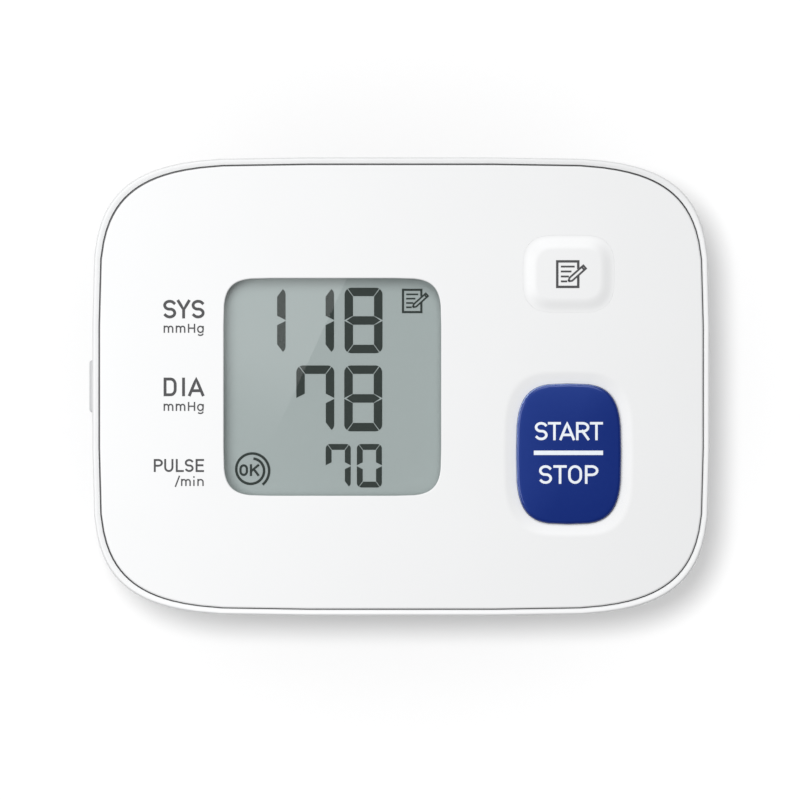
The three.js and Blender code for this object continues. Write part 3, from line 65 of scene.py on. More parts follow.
# small tools of the bench; past and far are how much further a cutter reaches than what it cuts
bench = {"past": 1.0, "far": 5.0, "flare": 0.01, "flatFaces": 60, "tiny": 1e-6, "overGirth": 1.02}


def deselectAll():
    if bpy.context.mode != "OBJECT":
        bpy.ops.object.mode_set(mode="OBJECT")
    bpy.ops.object.select_all(action="DESELECT")


def makeActive(obj):
    deselectAll()
    obj.select_set(True)
    bpy.context.view_layer.objects.active = obj


def called(name):
    # names what was added or joined last
    obj = bpy.context.object
    obj.name = obj.data.name = name
    return obj


def copyOf(model):
    copy = model.copy()
    copy.data = model.data.copy()
    bpy.context.scene.collection.objects.link(copy)
    return copy


def applyModifier(obj, kind, **values):
    makeActive(obj)
    bpy.ops.object.modifier_add(type=kind)
    modifier = obj.modifiers[-1]
    for key, value in values.items():
        setattr(modifier, key, value)
    bpy.ops.object.modifier_apply(modifier=modifier.name)


def carve(obj, cutter, operation="DIFFERENCE"):
    applyModifier(obj, "BOOLEAN", operation=operation, solver="EXACT", object=cutter)
    bpy.data.objects.remove(cutter)


def softenEdges(obj, width, angle, segments):
    applyModifier(obj, "BEVEL", width=width * mm, segments=segments, limit_method="ANGLE",
                  angle_limit=math.radians(angle), harden_normals=False)


def smoothShade(obj, angle):
    makeActive(obj)
    bpy.ops.object.shade_smooth_by_angle(angle=math.radians(angle))
    applyModifier(obj, "WEIGHTED_NORMAL", keep_sharp=True, weight=bench["flatFaces"])


def dress(obj, body, material, slot, *replaced):
    obj.data.materials.clear()
    obj.data.materials.append(material)
    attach(obj, body)
    if replaced:
        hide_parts(*replaced)
    return obj


# outlines with straight sides and rounded, squarish corners, in millimetres

def cushion(width, height, spanX, spanY, power, x=0, y=0):
    return dict(halfX=width / 2, halfY=height / 2, spanX=spanX, spanY=spanY, power=power, x=x, y=y)


def grown(outline, margin):
    wider = dict(outline)
    for key in ("halfX", "halfY", "spanX", "spanY"):
        wider[key] += margin
    return wider


def cushionRing(outline, z, steps):
    power, tiny = outline["power"], bench["tiny"]
    ring = []
    for quarter, (signX, signY) in enumerate(((1, 1), (-1, 1), (-1, -1), (1, -1))):
        for step in range(steps + 1):
            share = step / steps if quarter % 2 == 0 else 1 - step / steps
            turn = min(max(share, tiny), 1 - tiny) * math.pi / 2  # even turns keep the shading even
            angle = math.atan(math.tan(turn) ** (power / (2 * (power - 1))))
            across = outline["spanX"] * math.cos(angle) ** (2 / power)
            along = outline["spanY"] * math.sin(angle) ** (2 / power)
            x = outline["x"] + signX * (outline["halfX"] - outline["spanX"] + across)
            y = outline["y"] + signY * (outline["halfY"] - outline["spanY"] + along)
            ring.append((x, y, z))
    return ring


def layFlat(mesh, rows, lay):
    # the cloth's own measures, along and across, become its UV map in metres
    places = {index: spot for row, spots in zip(rows, lay) for index, spot in zip(row, spots)}
    girth = max(spot[1] for spot in places.values())
    layer = mesh.loops.layers.uv.verify()
    for face in mesh.faces:
        spots = [places[loop.vert.index] for loop in face.loops]
        across = [spot[1] for spot in spots]
        closing = max(across) - min(across) > girth / 2
        for loop, spot in zip(face.loops, spots):
            turn = girth * bench["overGirth"] if closing and spot[1] < girth / 2 else 0
            loop[layer].uv = (spot[0] * mm, (spot[1] + turn) * mm)


def skinRings(name, rings, lay=None):
    # a circle is laid down, extruded ring by ring, drawn to each ring's points and closed at both ends
    deselectAll()
    count = len(rings[0])
    bpy.ops.mesh.primitive_circle_add(vertices=count, radius=mm)
    obj = called(name)
    bpy.ops.object.mode_set(mode="EDIT")
    mesh = bmesh.from_edit_mesh(obj.data)
    mesh.verts.ensure_lookup_table()
    ring = list(range(count))
    rows = [ring]
    for index, point in zip(ring, rings[0]):
        mesh.verts[index].co = Vector(point) * mm
    for points in rings[1:]:
        bpy.ops.mesh.extrude_edges_indiv()
        mesh = bmesh.from_edit_mesh(obj.data)
        mesh.verts.index_update()
        mesh.verts.ensure_lookup_table()
        fresh = []
        for index, point in zip(ring, points):
            vert = mesh.verts[index]
            ends = [edge.other_vert(vert) for edge in vert.link_edges]
            lifted = next(end for end in ends if end.select)
            lifted.co = Vector(point) * mm
            fresh.append(lifted.index)
        ring = fresh
        rows.append(ring)
    bpy.ops.mesh.edge_face_add()
    bpy.ops.mesh.select_all(action="DESELECT")
    mesh = bmesh.from_edit_mesh(obj.data)
    mesh.verts.ensure_lookup_table()
    for index in range(count):
        mesh.verts[index].select = True
    mesh.select_flush(True)
    bpy.ops.mesh.edge_face_add()
    bpy.ops.mesh.select_all(action="SELECT")
    bpy.ops.mesh.normals_make_consistent(inside=False)
    if lay:
        mesh = bmesh.from_edit_mesh(obj.data)
        mesh.verts.index_update()
        layFlat(mesh, rows, lay)
        bmesh.update_edit_mesh(obj.data)
    bpy.ops.object.mode_set(mode="OBJECT")
    return obj


def joinPieces(name, parts):
    deselectAll()
    for part in parts:
        part.select_set(True)
    bpy.context.view_layer.objects.active = parts[0]
    bpy.ops.object.join()
    return called(name)


def fullTurn(sides):
    return [step / sides * 2 * math.pi for step in range(sides)]


def circleRing(x, y, z, radius, sides):
    return [(x + radius * math.cos(turn), y + radius * math.sin(turn), z) for turn in fullTurn(sides)]


def loft(name, outline, levels, steps):
    return skinRings(name, [cushionRing(grown(outline, -inset), z, steps) for inset, z in levels])


def box(name, low, high):
    deselectAll()
    middle = [(a + b) / 2 * mm for a, b in zip(low, high)]
    bpy.ops.mesh.primitive_cube_add(size=1, location=middle)
    bpy.context.object.scale = [(b - a) * mm for a, b in zip(low, high)]
    bpy.ops.object.transform_apply(location=True, rotation=True, scale=True)
    return called(name)


def rod(name, x, y, low, high, radius, sides=48):
    deselectAll()
    bpy.ops.mesh.primitive_cylinder_add(vertices=sides, radius=radius * mm, depth=(high - low) * mm,
                                        location=(x * mm, y * mm, (low + high) / 2 * mm))
    bpy.ops.object.transform_apply(location=True, rotation=True, scale=True)
    return called(name)


def waveSlope(start, end, steps):
    # a slope that leaves both of its ends level
    levels = []
    for step in range(steps + 1):
        share = step / steps
        rise = (1 - math.cos(share * math.pi)) / 2
        levels.append((start[0] + (end[0] - start[0]) * share, start[1] + (end[1] - start[1]) * rise))
    return levels


def quarterRound(start, end, steps, most=1.0):
    # starts upright and ends level
    levels = []
    for step in range(steps + 1):
        angle = step / steps * most * math.pi / 2
        inset = start[0] + (end[0] - start[0]) * (1 - math.cos(angle))
        levels.append((inset, start[1] + (end[1] - start[1]) * math.sin(angle)))
    return levels


# finishes, mixed from nodes that read the piece's own coordinates

def feed(tree, socket, source):
    # a node's output is linked, anything else is set
    if isinstance(source, bpy.types.NodeSocket):
        tree.links.new(source, socket)
    else:
        socket.default_value = source


def addNode(tree, kind, inputs=None, **settings):
    node = tree.nodes.new(kind)
    for key, value in settings.items():
        setattr(node, key, value)
    for key, source in (inputs or {}).items():
        feed(tree, node.inputs[key], source)
    return node


def addNoise(tree, scale, detail=2.0):
    place = addNode(tree, "ShaderNodeTexCoord")
    values = {"Vector": place.outputs["Object"], "Scale": scale, "Detail": detail}
    return addNode(tree, "ShaderNodeTexNoise", values).outputs["Fac"]


def addRange(tree, source, low, high):
    values = {"Value": source, "To Min": low, "To Max": high}
    return addNode(tree, "ShaderNodeMapRange", values).outputs["Result"]


def addTint(tree, source, dark, light):
    values = {"Factor": source, "A": (*dark, 1), "B": (*light, 1)}
    return addNode(tree, "ShaderNodeMix", values, data_type="RGBA").outputs["Result"]


def addBump(tree, source, depth, strength):
    values = {"Height": source, "Distance": depth * mm, "Strength": strength}
    return addNode(tree, "ShaderNodeBump", values).outputs["Normal"]


def mixInto(tree, output, share, first, second):
    mix = addNode(tree, "ShaderNodeMixShader", {"Fac": share, 1: first.outputs[0], 2: second.outputs[0]})
    tree.links.new(mix.outputs["Shader"], tree.nodes[output].inputs["Surface"])


def setShader(tree, values):
    for key, source in values.items():
        feed(tree, tree.nodes["Principled BSDF"].inputs[key], source)


def newFinish(name, color, roughness):
    material = bpy.data.materials.new(name)
    material.use_nodes = True
    setShader(material.node_tree, {"Base Color": (*color, 1), "Roughness": roughness})
    return material


def shaded(color, share):
    return [c * share for c in color]


# tint and gloss: scale and detail of the noise, then its low and high end; bump: depth and strength
plasticGrain = {"tint": (90, 2, 0.985, 1), "gloss": (2600, 2, -0.05, 0.05), "bump": (0.01, 0.35)}
keyGrain = {**plasticGrain, "bump": (0.002, 0.35),
            "sockets": {"Specular IOR Level": 1.0, "Specular Tint": (0.2, 0.35, 1.0, 1),
                        "Coat Weight": 0.35, "Coat Roughness": 0.1}}
inkGrain = {"tint": (1800, 2, 0.9, 1.05)}
segmentGrain = {**inkGrain, "sockets": {"Specular IOR Level": 0.15}}
cellGrain = {"tint": (40, 2, 0.97, 1.02), "gloss": (3000, 2, -0.05, 0.07),
             "sockets": {"Specular IOR Level": 0.2}}
metalGrain = {"tint": (220, 4, 0.8, 1), "gloss": (1500, 2, -0.08, 0.1), "bump": (0.006, 0.3),
              "sockets": {"Metallic": 1}}
rubberGrain = {"tint": (160, 5, 0.85, 1.1), "gloss": (1900, 2, -0.08, 0.08), "bump": (0.008, 0.3)}
tubeGrain = {**rubberGrain, "sockets": {"Transmission Weight": 0.35}}
filmGrain = {**rubberGrain, "sockets": {"Transmission Weight": 0.1}}


def napGrain(scale):
    # brushed cloth, tape and thread: short fibres without a clear weave
    return {"tint": (scale, 4, 0.55, 1.35), "gloss": (scale, 4, -0.06, 0.06), "bump": (0.05, 0.6),
            "sockets": {"Sheen Weight": 0.2, "Specular IOR Level": 0.2}}


def grainFinish(name, look, color, roughness):
    # a colour with a faint cloud in it, and a fine grain that breaks its gloss and its surface
    material = newFinish(name, color, roughness)
    tree = material.node_tree
    scale, detail, dark, light = look["tint"]
    cloud = addNoise(tree, scale, detail)
    setShader(tree, {"Base Color": addTint(tree, cloud, shaded(color, dark), shaded(color, light))})
    if "gloss" in look:
        scale, detail, low, high = look["gloss"]
        grain = addNoise(tree, scale, detail)
        setShader(tree, {"Roughness": addRange(tree, grain, roughness + low, roughness + high)})
        if "bump" in look:
            setShader(tree, {"Normal": addBump(tree, grain, *look["bump"])})
    setShader(tree, look.get("sockets", {}))
    return material


# the dark end of the weave's colour is painted shade where the threads dip
weaveLook = {
    "waveLong": math.pi / 10, "wobble": 0.35, "detail": 1, "nap": (700, 3), "napShare": (0.8, 1.2),
    "threadShadeShare": (0.55, 1.0), "dark": 0.3, "light": 1.15, "gloss": 0.05, "bump": 0.8,
    "sockets": {"Sheen Weight": 0.25, "Sheen Roughness": 0.5, "Specular IOR Level": 0.25},
}


def wovenCloth(name, color, thread, roughness, lift):
    # plain weave on the cloth's own flat measures: warp and weft cross over and under, with a soft nap; the
    # colour is painted darker where the threads dip, painted shade between the threads
    look = weaveLook
    material = newFinish(name, color, roughness)
    tree = material.node_tree
    lay = addNode(tree, "ShaderNodeUVMap").outputs["UV"]
    values = {"Vector": lay, "Scale": look["waveLong"] / (thread * mm), "Distortion": look["wobble"],
              "Detail": look["detail"]}
    warp, weft = [addNode(tree, "ShaderNodeTexWave", values, bands_direction=way) for way in ("X", "Y")]
    check = addNode(tree, "ShaderNodeTexChecker", {"Vector": lay, "Scale": 1 / (thread * mm)})
    height = addNode(tree, "ShaderNodeMix", {"Factor": check.outputs["Fac"], "A": warp.outputs["Fac"],
                                             "B": weft.outputs["Fac"]}).outputs["Result"]
    nap = addNoise(tree, *look["nap"])
    # painted shade: the low parts of the weave get a darker colour
    shares = {0: addRange(tree, height, *look["threadShadeShare"]), 1: addRange(tree, nap, *look["napShare"])}
    shade = addNode(tree, "ShaderNodeMath", shares, operation="MULTIPLY").outputs["Value"]
    setShader(tree, {
        "Base Color": addTint(tree, shade, shaded(color, look["dark"]), shaded(color, look["light"])),
        "Roughness": addRange(tree, nap, roughness - look["gloss"], roughness + look["gloss"]),
        "Normal": addBump(tree, height, lift, look["bump"]), **look["sockets"],
    })
    return material


windowGlass = {"dark": (0.985, 0.99, 0.988), "light": (0.995, 0.998, 0.996), "haze": 60, "mirror": 0.006,
               "steep": 5, "least": 0.04, "gloss": 0.05}


def clearWindow(name, look):
    # see-through where it is looked at straight, a mirror where it is looked at flat
    material = newFinish(name, (1, 1, 1), look["gloss"])
    tree = material.node_tree
    tree.nodes.remove(tree.nodes["Principled BSDF"])
    haze = addTint(tree, addNoise(tree, look["haze"]), look["dark"], look["light"])
    through = addNode(tree, "ShaderNodeBsdfTransparent", {"Color": haze})
    mirror = addNode(tree, "ShaderNodeBsdfGlossy", {"Roughness": look["mirror"]})
    facing = addNode(tree, "ShaderNodeLayerWeight").outputs["Facing"]
    steep = addNode(tree, "ShaderNodeMath", {0: facing, 1: look["steep"]}, operation="POWER")
    share = addRange(tree, steep.outputs["Value"], look["least"], 1)
    mixInto(tree, "Material Output", share, through, mirror)
    return material


boardLook = {
    "mask": (0.01, 0.09, 0.04), "dark": (0.008, 0.075, 0.03, 1), "light": (0.012, 0.1, 0.045, 1),
    "track": (0.03, 0.2, 0.09, 1), "tracks": 260, "trackWide": 0.03, "grain": 800, "gloss": (0.28, 0.42),
    "rough": 0.35, "bump": (0.02, 0.4),
}


def circuitBoard(name, look):
    # solder mask over a fine net of tracks
    material = newFinish(name, look["mask"], look["rough"])
    tree = material.node_tree
    place = addNode(tree, "ShaderNodeTexCoord")
    tracks = addNode(tree, "ShaderNodeTexBrick", {
        "Vector": place.outputs["Object"], "Scale": look["tracks"], "Mortar Size": look["trackWide"],
        "Color1": look["dark"], "Color2": look["light"], "Mortar": look["track"],
    })
    setShader(tree, {
        "Base Color": tracks.outputs["Color"],
        "Roughness": addRange(tree, addNoise(tree, look["grain"]), *look["gloss"]),
        "Normal": addBump(tree, tracks.outputs["Fac"], *look["bump"]),
    })
    return material


jacketLook = {"foot": (0.02, 0.022, 0.026), "head": (0.42, 0.25, 0.09), "split": 34.0, "grain": 900,
              "gloss": (0.24, 0.36), "rough": 0.3, "metal": 0.5}


def cellSleeve(name, look):
    # shrink sleeve in two colours; the split is a place along the cell's own lay
    material = newFinish(name, look["foot"], look["rough"])
    tree = material.node_tree
    lay = addNode(tree, "ShaderNodeUVMap").outputs["UV"]
    along = addNode(tree, "ShaderNodeSeparateXYZ", {"Vector": lay}).outputs["X"]
    upper = addNode(tree, "ShaderNodeMath", {0: along, 1: look["split"] * mm}, operation="GREATER_THAN")
    setShader(tree, {
        "Base Color": addTint(tree, upper.outputs["Value"], look["foot"], look["head"]),
        "Roughness": addRange(tree, addNoise(tree, look["grain"]), *look["gloss"]),
        "Metallic": look["metal"],
    })
    return material


whitePlastic = grainFinish("white_shell", plasticGrain, (0.86, 0.865, 0.87), 0.42)
# painted shade: a slightly darker copy of the white plastic, for the greyer outer edge of the case
rearShadedPlastic = grainFinish("white_rear_painted_shade", plasticGrain, (0.855, 0.86, 0.865), 0.45)
# painted shade: the latch tab is grey where the case is white, for the shade on the tab's face
tabShadedGrey = grainFinish("tab_grey_painted_shade", plasticGrain, (0.62, 0.63, 0.64), 0.45)
keyBlue = grainFinish("blue_key", keyGrain, (0.0006, 0.0145, 0.168), 0.4)
greyPlastic = grainFinish("grey_saddle", plasticGrain, (0.2, 0.21, 0.225), 0.5)
blackPlastic = grainFinish("black_moulding", plasticGrain, (0.012, 0.013, 0.014), 0.45)
inkGrey = grainFinish("grey_print", inkGrain, (0.06, 0.06, 0.064), 0.5)
inkWhite = grainFinish("white_print", inkGrain, (0.86, 0.91, 0.97), 0.4)
segmentInk = grainFinish("display_segment", segmentGrain, (0.028, 0.039, 0.035), 0.5)
displayGlass = grainFinish("display_cell", cellGrain, (0.377, 0.427, 0.424), 0.35)
lensClear = clearWindow("clear_window", windowGlass)
steelBright = grainFinish("plated_steel", metalGrain, (0.62, 0.63, 0.64), 0.3)
brassBright = grainFinish("brass", metalGrain, (0.72, 0.5, 0.2), 0.3)
rubberDark = grainFinish("dark_rubber", rubberGrain, (0.02, 0.02, 0.022), 0.6)
# painted shade: the dark colour of the strip in the seam groove stands in for the seam's shadow
seamShadeGrey = grainFinish("seam_painted_shade", rubberGrain, (0.11, 0.11, 0.114), 0.6)
siliconeClear = grainFinish("clear_tube", tubeGrain, (0.75, 0.77, 0.75), 0.3)
bladderFilm = grainFinish("air_bag_film", filmGrain, (0.5, 0.54, 0.58), 0.35)
boardGreen = circuitBoard("circuit_board", boardLook)
leadRed = grainFinish("red_lead", rubberGrain, (0.4, 0.015, 0.012), 0.4)
leadBlack = grainFinish("black_lead", rubberGrain, (0.015, 0.015, 0.016), 0.4)
sleeveCloth = wovenCloth("sleeve_cloth", (0.13, 0.14, 0.155), 0.62, 0.8, 0.09)
strapCloth = wovenCloth("strap_webbing", (0.10, 0.108, 0.12), 0.8, 0.78, 0.13)
liningCloth = wovenCloth("lining_cloth", (0.045, 0.048, 0.055), 0.42, 0.85, 0.06)
edgeTape = grainFinish("edge_tape", napGrain(1500), (0.05, 0.053, 0.06), 0.8)
hookTape = grainFinish("hook_tape", napGrain(2200), (0.018, 0.018, 0.02), 0.6)
seamThread = grainFinish("seam_thread", napGrain(4000), (0.26, 0.27, 0.29), 0.7)
foamGrey = grainFinish("pad_foam", napGrain(1200), (0.3, 0.31, 0.32), 0.9)
cellJacket = cellSleeve("cell_jacket", jacketLook)
print("finishes mixed")


# camera straight above the front face, framed as in the picture
cameraLook = {"distance": 2000, "perMm": 7.348, "picture": 800, "caseAt": (401.1, 386.25), "front": 72.9,
              "sensor": 36, "clip": (0.1, 20)}


def spot(px, py):
    # a place in the picture, in millimetres from the middle of the case
    x0, y0 = cameraLook["caseAt"]
    return (px - x0) / cameraLook["perMm"], (y0 - py) / cameraLook["perMm"]


def placeCamera(look):
    data = bpy.data.cameras.new("front_camera")
    camera = bpy.data.objects.new("front_camera", data)
    bpy.context.scene.collection.objects.link(camera)
    data.sensor_width = look["sensor"]
    data.lens = look["sensor"] * look["distance"] / (look["picture"] / look["perMm"])
    data.clip_start, data.clip_end = look["clip"]
    middle = look["picture"] / 2
    camera.location = Vector((*spot(middle, middle), look["front"] + look["distance"])) * mm
    bpy.context.scene.camera = camera
    return camera


camera = placeCamera(cameraLook)


# floor and light; places and sizes in metres
white = (1, 1, 1, 1)
studio = {"floor": 4.0, "sunk": 0.0001, "rough": 0.8, "shine": 0.1, "cloud": (3, 2, 0.895, 0.905),
          "bounce": (0.6, 0.6, 0.6, 1), "world": 0.36, "worldInGloss": 0.12}
lamps = {
    "left_lamp": {"at": (-0.1525, 0.0, 0.307), "aim": (0.0, 0.0, 0.07), "size": 0.18, "power": 0.362,
                  "onFloor": False},
    "top_lamp": {"at": (0.0, 0.654, 1.078), "aim": (0.0, 0.0, 0.07), "size": 0.78, "power": 6.5,
                 "onFloor": False},
    "drop_lamp": {"at": (-0.06, 0.06, 2.1), "aim": (0.0, 0.0, 0.0), "size": 0.13, "power": 20.6,
                  "onFloor": True},
    "fill_lamp": {"at": (0.0, 0.0, 2.4), "aim": (0.0, 0.0, 0.0), "size": 1.0, "power": 21.2,
                  "onFloor": True, "shadow": False},
}


def makeFloor(look):
    deselectAll()
    bpy.ops.mesh.primitive_plane_add(size=look["floor"], location=(0, 0, -look["sunk"]))
    floor = called("studio_floor")
    grain = {"tint": look["cloud"], "sockets": {"Specular IOR Level": look["shine"]}}
    material = grainFinish("pale_floor", grain, white[:3], look["rough"])
    tree = material.node_tree
    dull = addNode(tree, "ShaderNodeBsdfDiffuse", {"Color": look["bounce"]})  # lights the sides of the case
    share = addNode(tree, "ShaderNodeLightPath").outputs["Is Diffuse Ray"]
    mixInto(tree, "Material Output", share, tree.nodes["Principled BSDF"], dull)
    floor.data.materials.append(material)
    return floor


def makeWorld(look):
    world = bpy.data.worlds.new("studio_world")
    bpy.context.scene.world = world
    world.use_nodes = True
    tree = world.node_tree
    even = tree.nodes["Background"]
    feed(tree, even.inputs["Color"], white)
    feed(tree, even.inputs["Strength"], look["world"])
    dim = addNode(tree, "ShaderNodeBackground", {"Color": white, "Strength": look["worldInGloss"]})
    share = addNode(tree, "ShaderNodeLightPath").outputs["Is Glossy Ray"]
    mixInto(tree, "World Output", share, even, dim)


def makeLamp(name, look):
    data = bpy.data.lights.new(name, "AREA")
    data.shape = "DISK"
    data.size = look["size"]
    data.energy = look["power"]
    data.color = look.get("color", white[:3])
    data.use_shadow = look.get("shadow", True)
    if "tall" in look:
        data.shape = "RECTANGLE"
        data.size_y = look["tall"]
    lamp = bpy.data.objects.new(name, data)
    bpy.context.scene.collection.objects.link(lamp)
    lamp.location = look["at"]
    way = Vector(look["aim"]) - Vector(look["at"])
    lamp.rotation_euler = way.to_track_quat("-Z", "Y").to_euler()
    lamp.visible_camera = False
    lamp.visible_diffuse = look.get("diffuse", True)
    return lamp


def shareLight(lamp, piece, reached):
    # the lamp reaches that piece alone, or everything but that piece
    group = bpy.data.collections.new(lamp.name + "_reach")
    group.objects.link(piece)
    if not reached:
        group.collection_objects[0].light_linking.link_state = "EXCLUDE"
    lamp.light_linking.receiver_collection = group


studioFloor = makeFloor(studio)
makeWorld(studio)
for name, look in lamps.items():
    shareLight(makeLamp(name, look), studioFloor, look["onFloor"])
bpy.context.scene.view_settings.view_transform = "Standard"
print("camera, floor and lamps set")


# case shells; heights count from the floor
caseLook = {
    "outline": cushion(84.2, 62.55, 29.8, 23.2, 3.94, 0, -0.05), "corner": 20, "shade": 32,
    "bottom": 51.9, "floor": 1.6, "wall": 1.6, "draft": 0.8, "rearRound": 6.5, "skinSteps": 10,
    "skinLeast": 0.05, "rimTop": 72.7, "rimWidth": 0.9, "rimFlat": 0.6, "rimDrop": 1.7, "rimLean": 0.2,
    "rimSteps": 6, "ledge": 71.6, "ledgeLeast": 0.1, "groove": 71.3, "grooveWide": 0.3, "front": 72.9,
    "panelBack": 71.7, "panelEdge": 0.22, "panelSteps": 5, "panelShift": (0.04, -0.04), "seam": 0.18,
    "shadeStripWide": (0.02, 0.12), "shadeStripFoot": 71.35, "shadeStripTop": 72.3,
}


def skinInset(look, z):
    # how far the outer skin lies inside the widest outline, at a height over the rear face
    tall = look["rimTop"] - look["bottom"]
    draft = look["draft"] * (1 - z / tall)
    rearShare = max(0, look["rearRound"] - z) / look["rearRound"]
    rimShare = min(1, max(0, z - (tall - look["rimDrop"])) / look["rimDrop"])
    rear = look["rearRound"] * (1 - math.sqrt(1 - rearShare ** 2))
    rim = (look["rimWidth"] - look["rimFlat"]) * (1 - math.sqrt(1 - rimShare ** 2))
    return draft + rear + rim


def skinHeights(look, low):
    tall = look["rimTop"] - look["bottom"]
    turns = [step / look["skinSteps"] * math.pi / 2 for step in range(look["skinSteps"] + 1)]
    rear = [look["rearRound"] * (1 - math.cos(turn)) for turn in turns]
    rim = [tall - look["rimDrop"] * (1 - math.sin(turn)) for turn in turns]
    return [low] + [z for z in rear + rim if z > low + look["skinLeast"]]


def shellLevels(look):
    # up the outer skin, over the rim, through the groove to the cover's ledge, down the inner wall
    base = look["bottom"]
    outer = [(skinInset(look, z), base + z) for z in skinHeights(look, 0)]
    ledge = look["ledge"] - base
    flat, top, lean = look["rimFlat"], look["rimTop"], look["rimLean"]
    crest = look["rimWidth"] - flat
    shares = [step / look["rimSteps"] for step in range(1, look["rimSteps"] + 1)]
    rim = [(crest + flat * share, top - lean * share ** 2) for share in shares]
    inner = [z for z in skinHeights(look, look["floor"]) if z < ledge - look["ledgeLeast"]] + [ledge]
    wall = [(skinInset(look, z) + look["wall"], base + z) for z in reversed(inner)]
    far = look["rimWidth"] + look["grooveWide"]
    groove = [(look["rimWidth"], look["groove"]), (far, look["groove"]), (far, look["ledge"])]
    return outer + rim + groove + wall


def nodeBox(name):
    return [[c / mm for c in corner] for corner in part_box(name)]


def nodeMiddle(name):
    return [(a + b) / 2 for a, b in zip(*nodeBox(name))]


screwPlaces = [nodeMiddle(f"case_screw_{number}")[:2] for number in range(1, 5)]
postPlaces = [nodeMiddle(f"board_screw_{number}")[:2] for number in range(1, 4)]

coverLook = {
    "window": cushion(29.6, 29.6, 6.45, 6.45, 3.8, -9.35, -0.1), "windowRound": 0.16, "windowSteps": 5,
    "windowEnd": 0.9, "start": cushion(14.25, 19.1, 6.9, 9.05, 3.3, 22.8, -9.2), "startGap": 0.035,
    "dish": 1.85, "dishDeep": 0.36, "dishSoft": 0.3, "dishSteps": 12, "dishEnd": 0.97,
    "memory": cushion(12.4, 10.5, 4.4, 4.4, 2.7, 22.8, 15.3), "memoryGap": 0.008, "corner": 16,
    "boss": 2.3, "bossFoot": 56.8,
}


def panelOutline(shell):
    outline = grown(shell["outline"], -(shell["rimWidth"] + shell["seam"]))
    outline["x"] += shell["panelShift"][0]
    outline["y"] += shell["panelShift"][1]
    return outline


def makeSeamShadeStrip(shell):
    # a dark strip in the groove between the front cover and the rim; its dark colour is painted shade,
    # standing in for the seam's shadow
    near, far = [grown(panelOutline(shell), margin) for margin in shell["shadeStripWide"]]
    foot, top, past = shell["shadeStripFoot"], shell["shadeStripTop"], bench["past"]
    shadeStrip = loft("seam_shade_strip", far, [(0, foot), (0, top)], shell["corner"])
    carve(shadeStrip, loft("seam_shade_cut", near, [(0, foot - past), (0, top + past)], shell["corner"]))
    smoothShade(shadeStrip, shell["shade"])
    dress(shadeStrip, "case", seamShadeGrey, "dark_rubber")


def dishLevels(shell, look):
    # from the end of the even slope to where it meets the front
    front, deep, soft = shell["front"], look["dishDeep"], look["dishSoft"]
    levels = [(0, shell["panelBack"] - bench["past"]), (0, front - deep)]
    for step in range(look["dishSteps"] + 1):
        left = 1 - step / look["dishSteps"] * look["dishEnd"]
        levels.append((-look["dish"] * (1 - soft * left), front - deep * soft * left ** 2 / (2 - soft)))
    return levels + [(levels[-1][0] - bench["flare"], front + bench["past"])]


def windowLevels(shell, look):
    front, lip = shell["front"], look["windowRound"]
    edge = quarterRound((0, front - lip), (-lip, front), look["windowSteps"], look["windowEnd"])
    below = (0, shell["panelBack"] - bench["past"])
    return [below] + edge + [(edge[-1][0] - bench["flare"], front + bench["past"])]


def makeFrontCover(shell, look):
    front, back, edge, past = shell["front"], shell["panelBack"], shell["panelEdge"], bench["past"]
    levels = [(0, back)] + quarterRound((0, front - edge), (edge, front), shell["panelSteps"])
    cover = loft("front_cover_panel", panelOutline(shell), levels, shell["corner"])
    for x, y in screwPlaces:
        carve(cover, rod("boss", x, y, look["bossFoot"], back + past, look["boss"]), "UNION")
    startHole = grown(look["start"], look["startGap"])
    memoryHole = grown(look["memory"], look["memoryGap"])
    cuts = {"dish_cut": (startHole, dishLevels(shell, look)),
            "window_cut": (look["window"], windowLevels(shell, look)),
            "memory_cut": (memoryHole, [(0, back - past), (0, front + past)])}
    for name, (outline, levels) in cuts.items():
        carve(cover, loft(name, outline, levels, look["corner"]))
    smoothShade(cover, shell["shade"])
    dress(cover, "case", whitePlastic, "white_plastic", "front_cover")


rearLook = {
    "pillar": 3.0, "pillarTop": 56.7, "post": 2.1, "postTop": 64.0, "postHoleFoot": 57.5, "headHole": 1.95,
    "headDeep": 2.2, "shankHole": 1.0, "slotX": (-12.4, 11.4), "slotY": (-10.5, 10.5),
    "slotHalf": (1.2, 2.9), "holeRise": 2.0, "airHole": (6.0, 3.0), "airRadius": 2.15, "bayRight": -18.4,
    "bayHalf": 23.5, "bayTop": 65.5, "cradleX": (13.8, 26.2), "cradleY": (-18.1, -9.1), "cradleHalf": 0.6,
    "cradleTop": 56.9, "motorAxis": (20.0, 58.8), "motorSeat": 5.15, "seatSides": 64,
}


def leftBox(name, shell, half, right, top):
    # everything of the case that lies left of a line
    far = bench["far"]
    return box(name, (-shell["outline"]["halfX"] - far, -half, shell["bottom"] - far), (right, half, top))


def makeCradle(look, y, foot):
    # a web with a round seat that carries the motor
    half, (left, right), (x, z) = look["cradleHalf"], look["cradleX"], look["motorAxis"]
    cradle = box("cradle", (left, y - half, foot), (right, y + half, look["cradleTop"]))
    circle = circleRing(x, z, 0, look["motorSeat"], look["seatSides"])
    sides = (y - 2 * half, y + 2 * half)
    carve(cradle, skinRings("seat", [[(px, side, pz) for px, pz, flat in circle] for side in sides]))
    return cradle


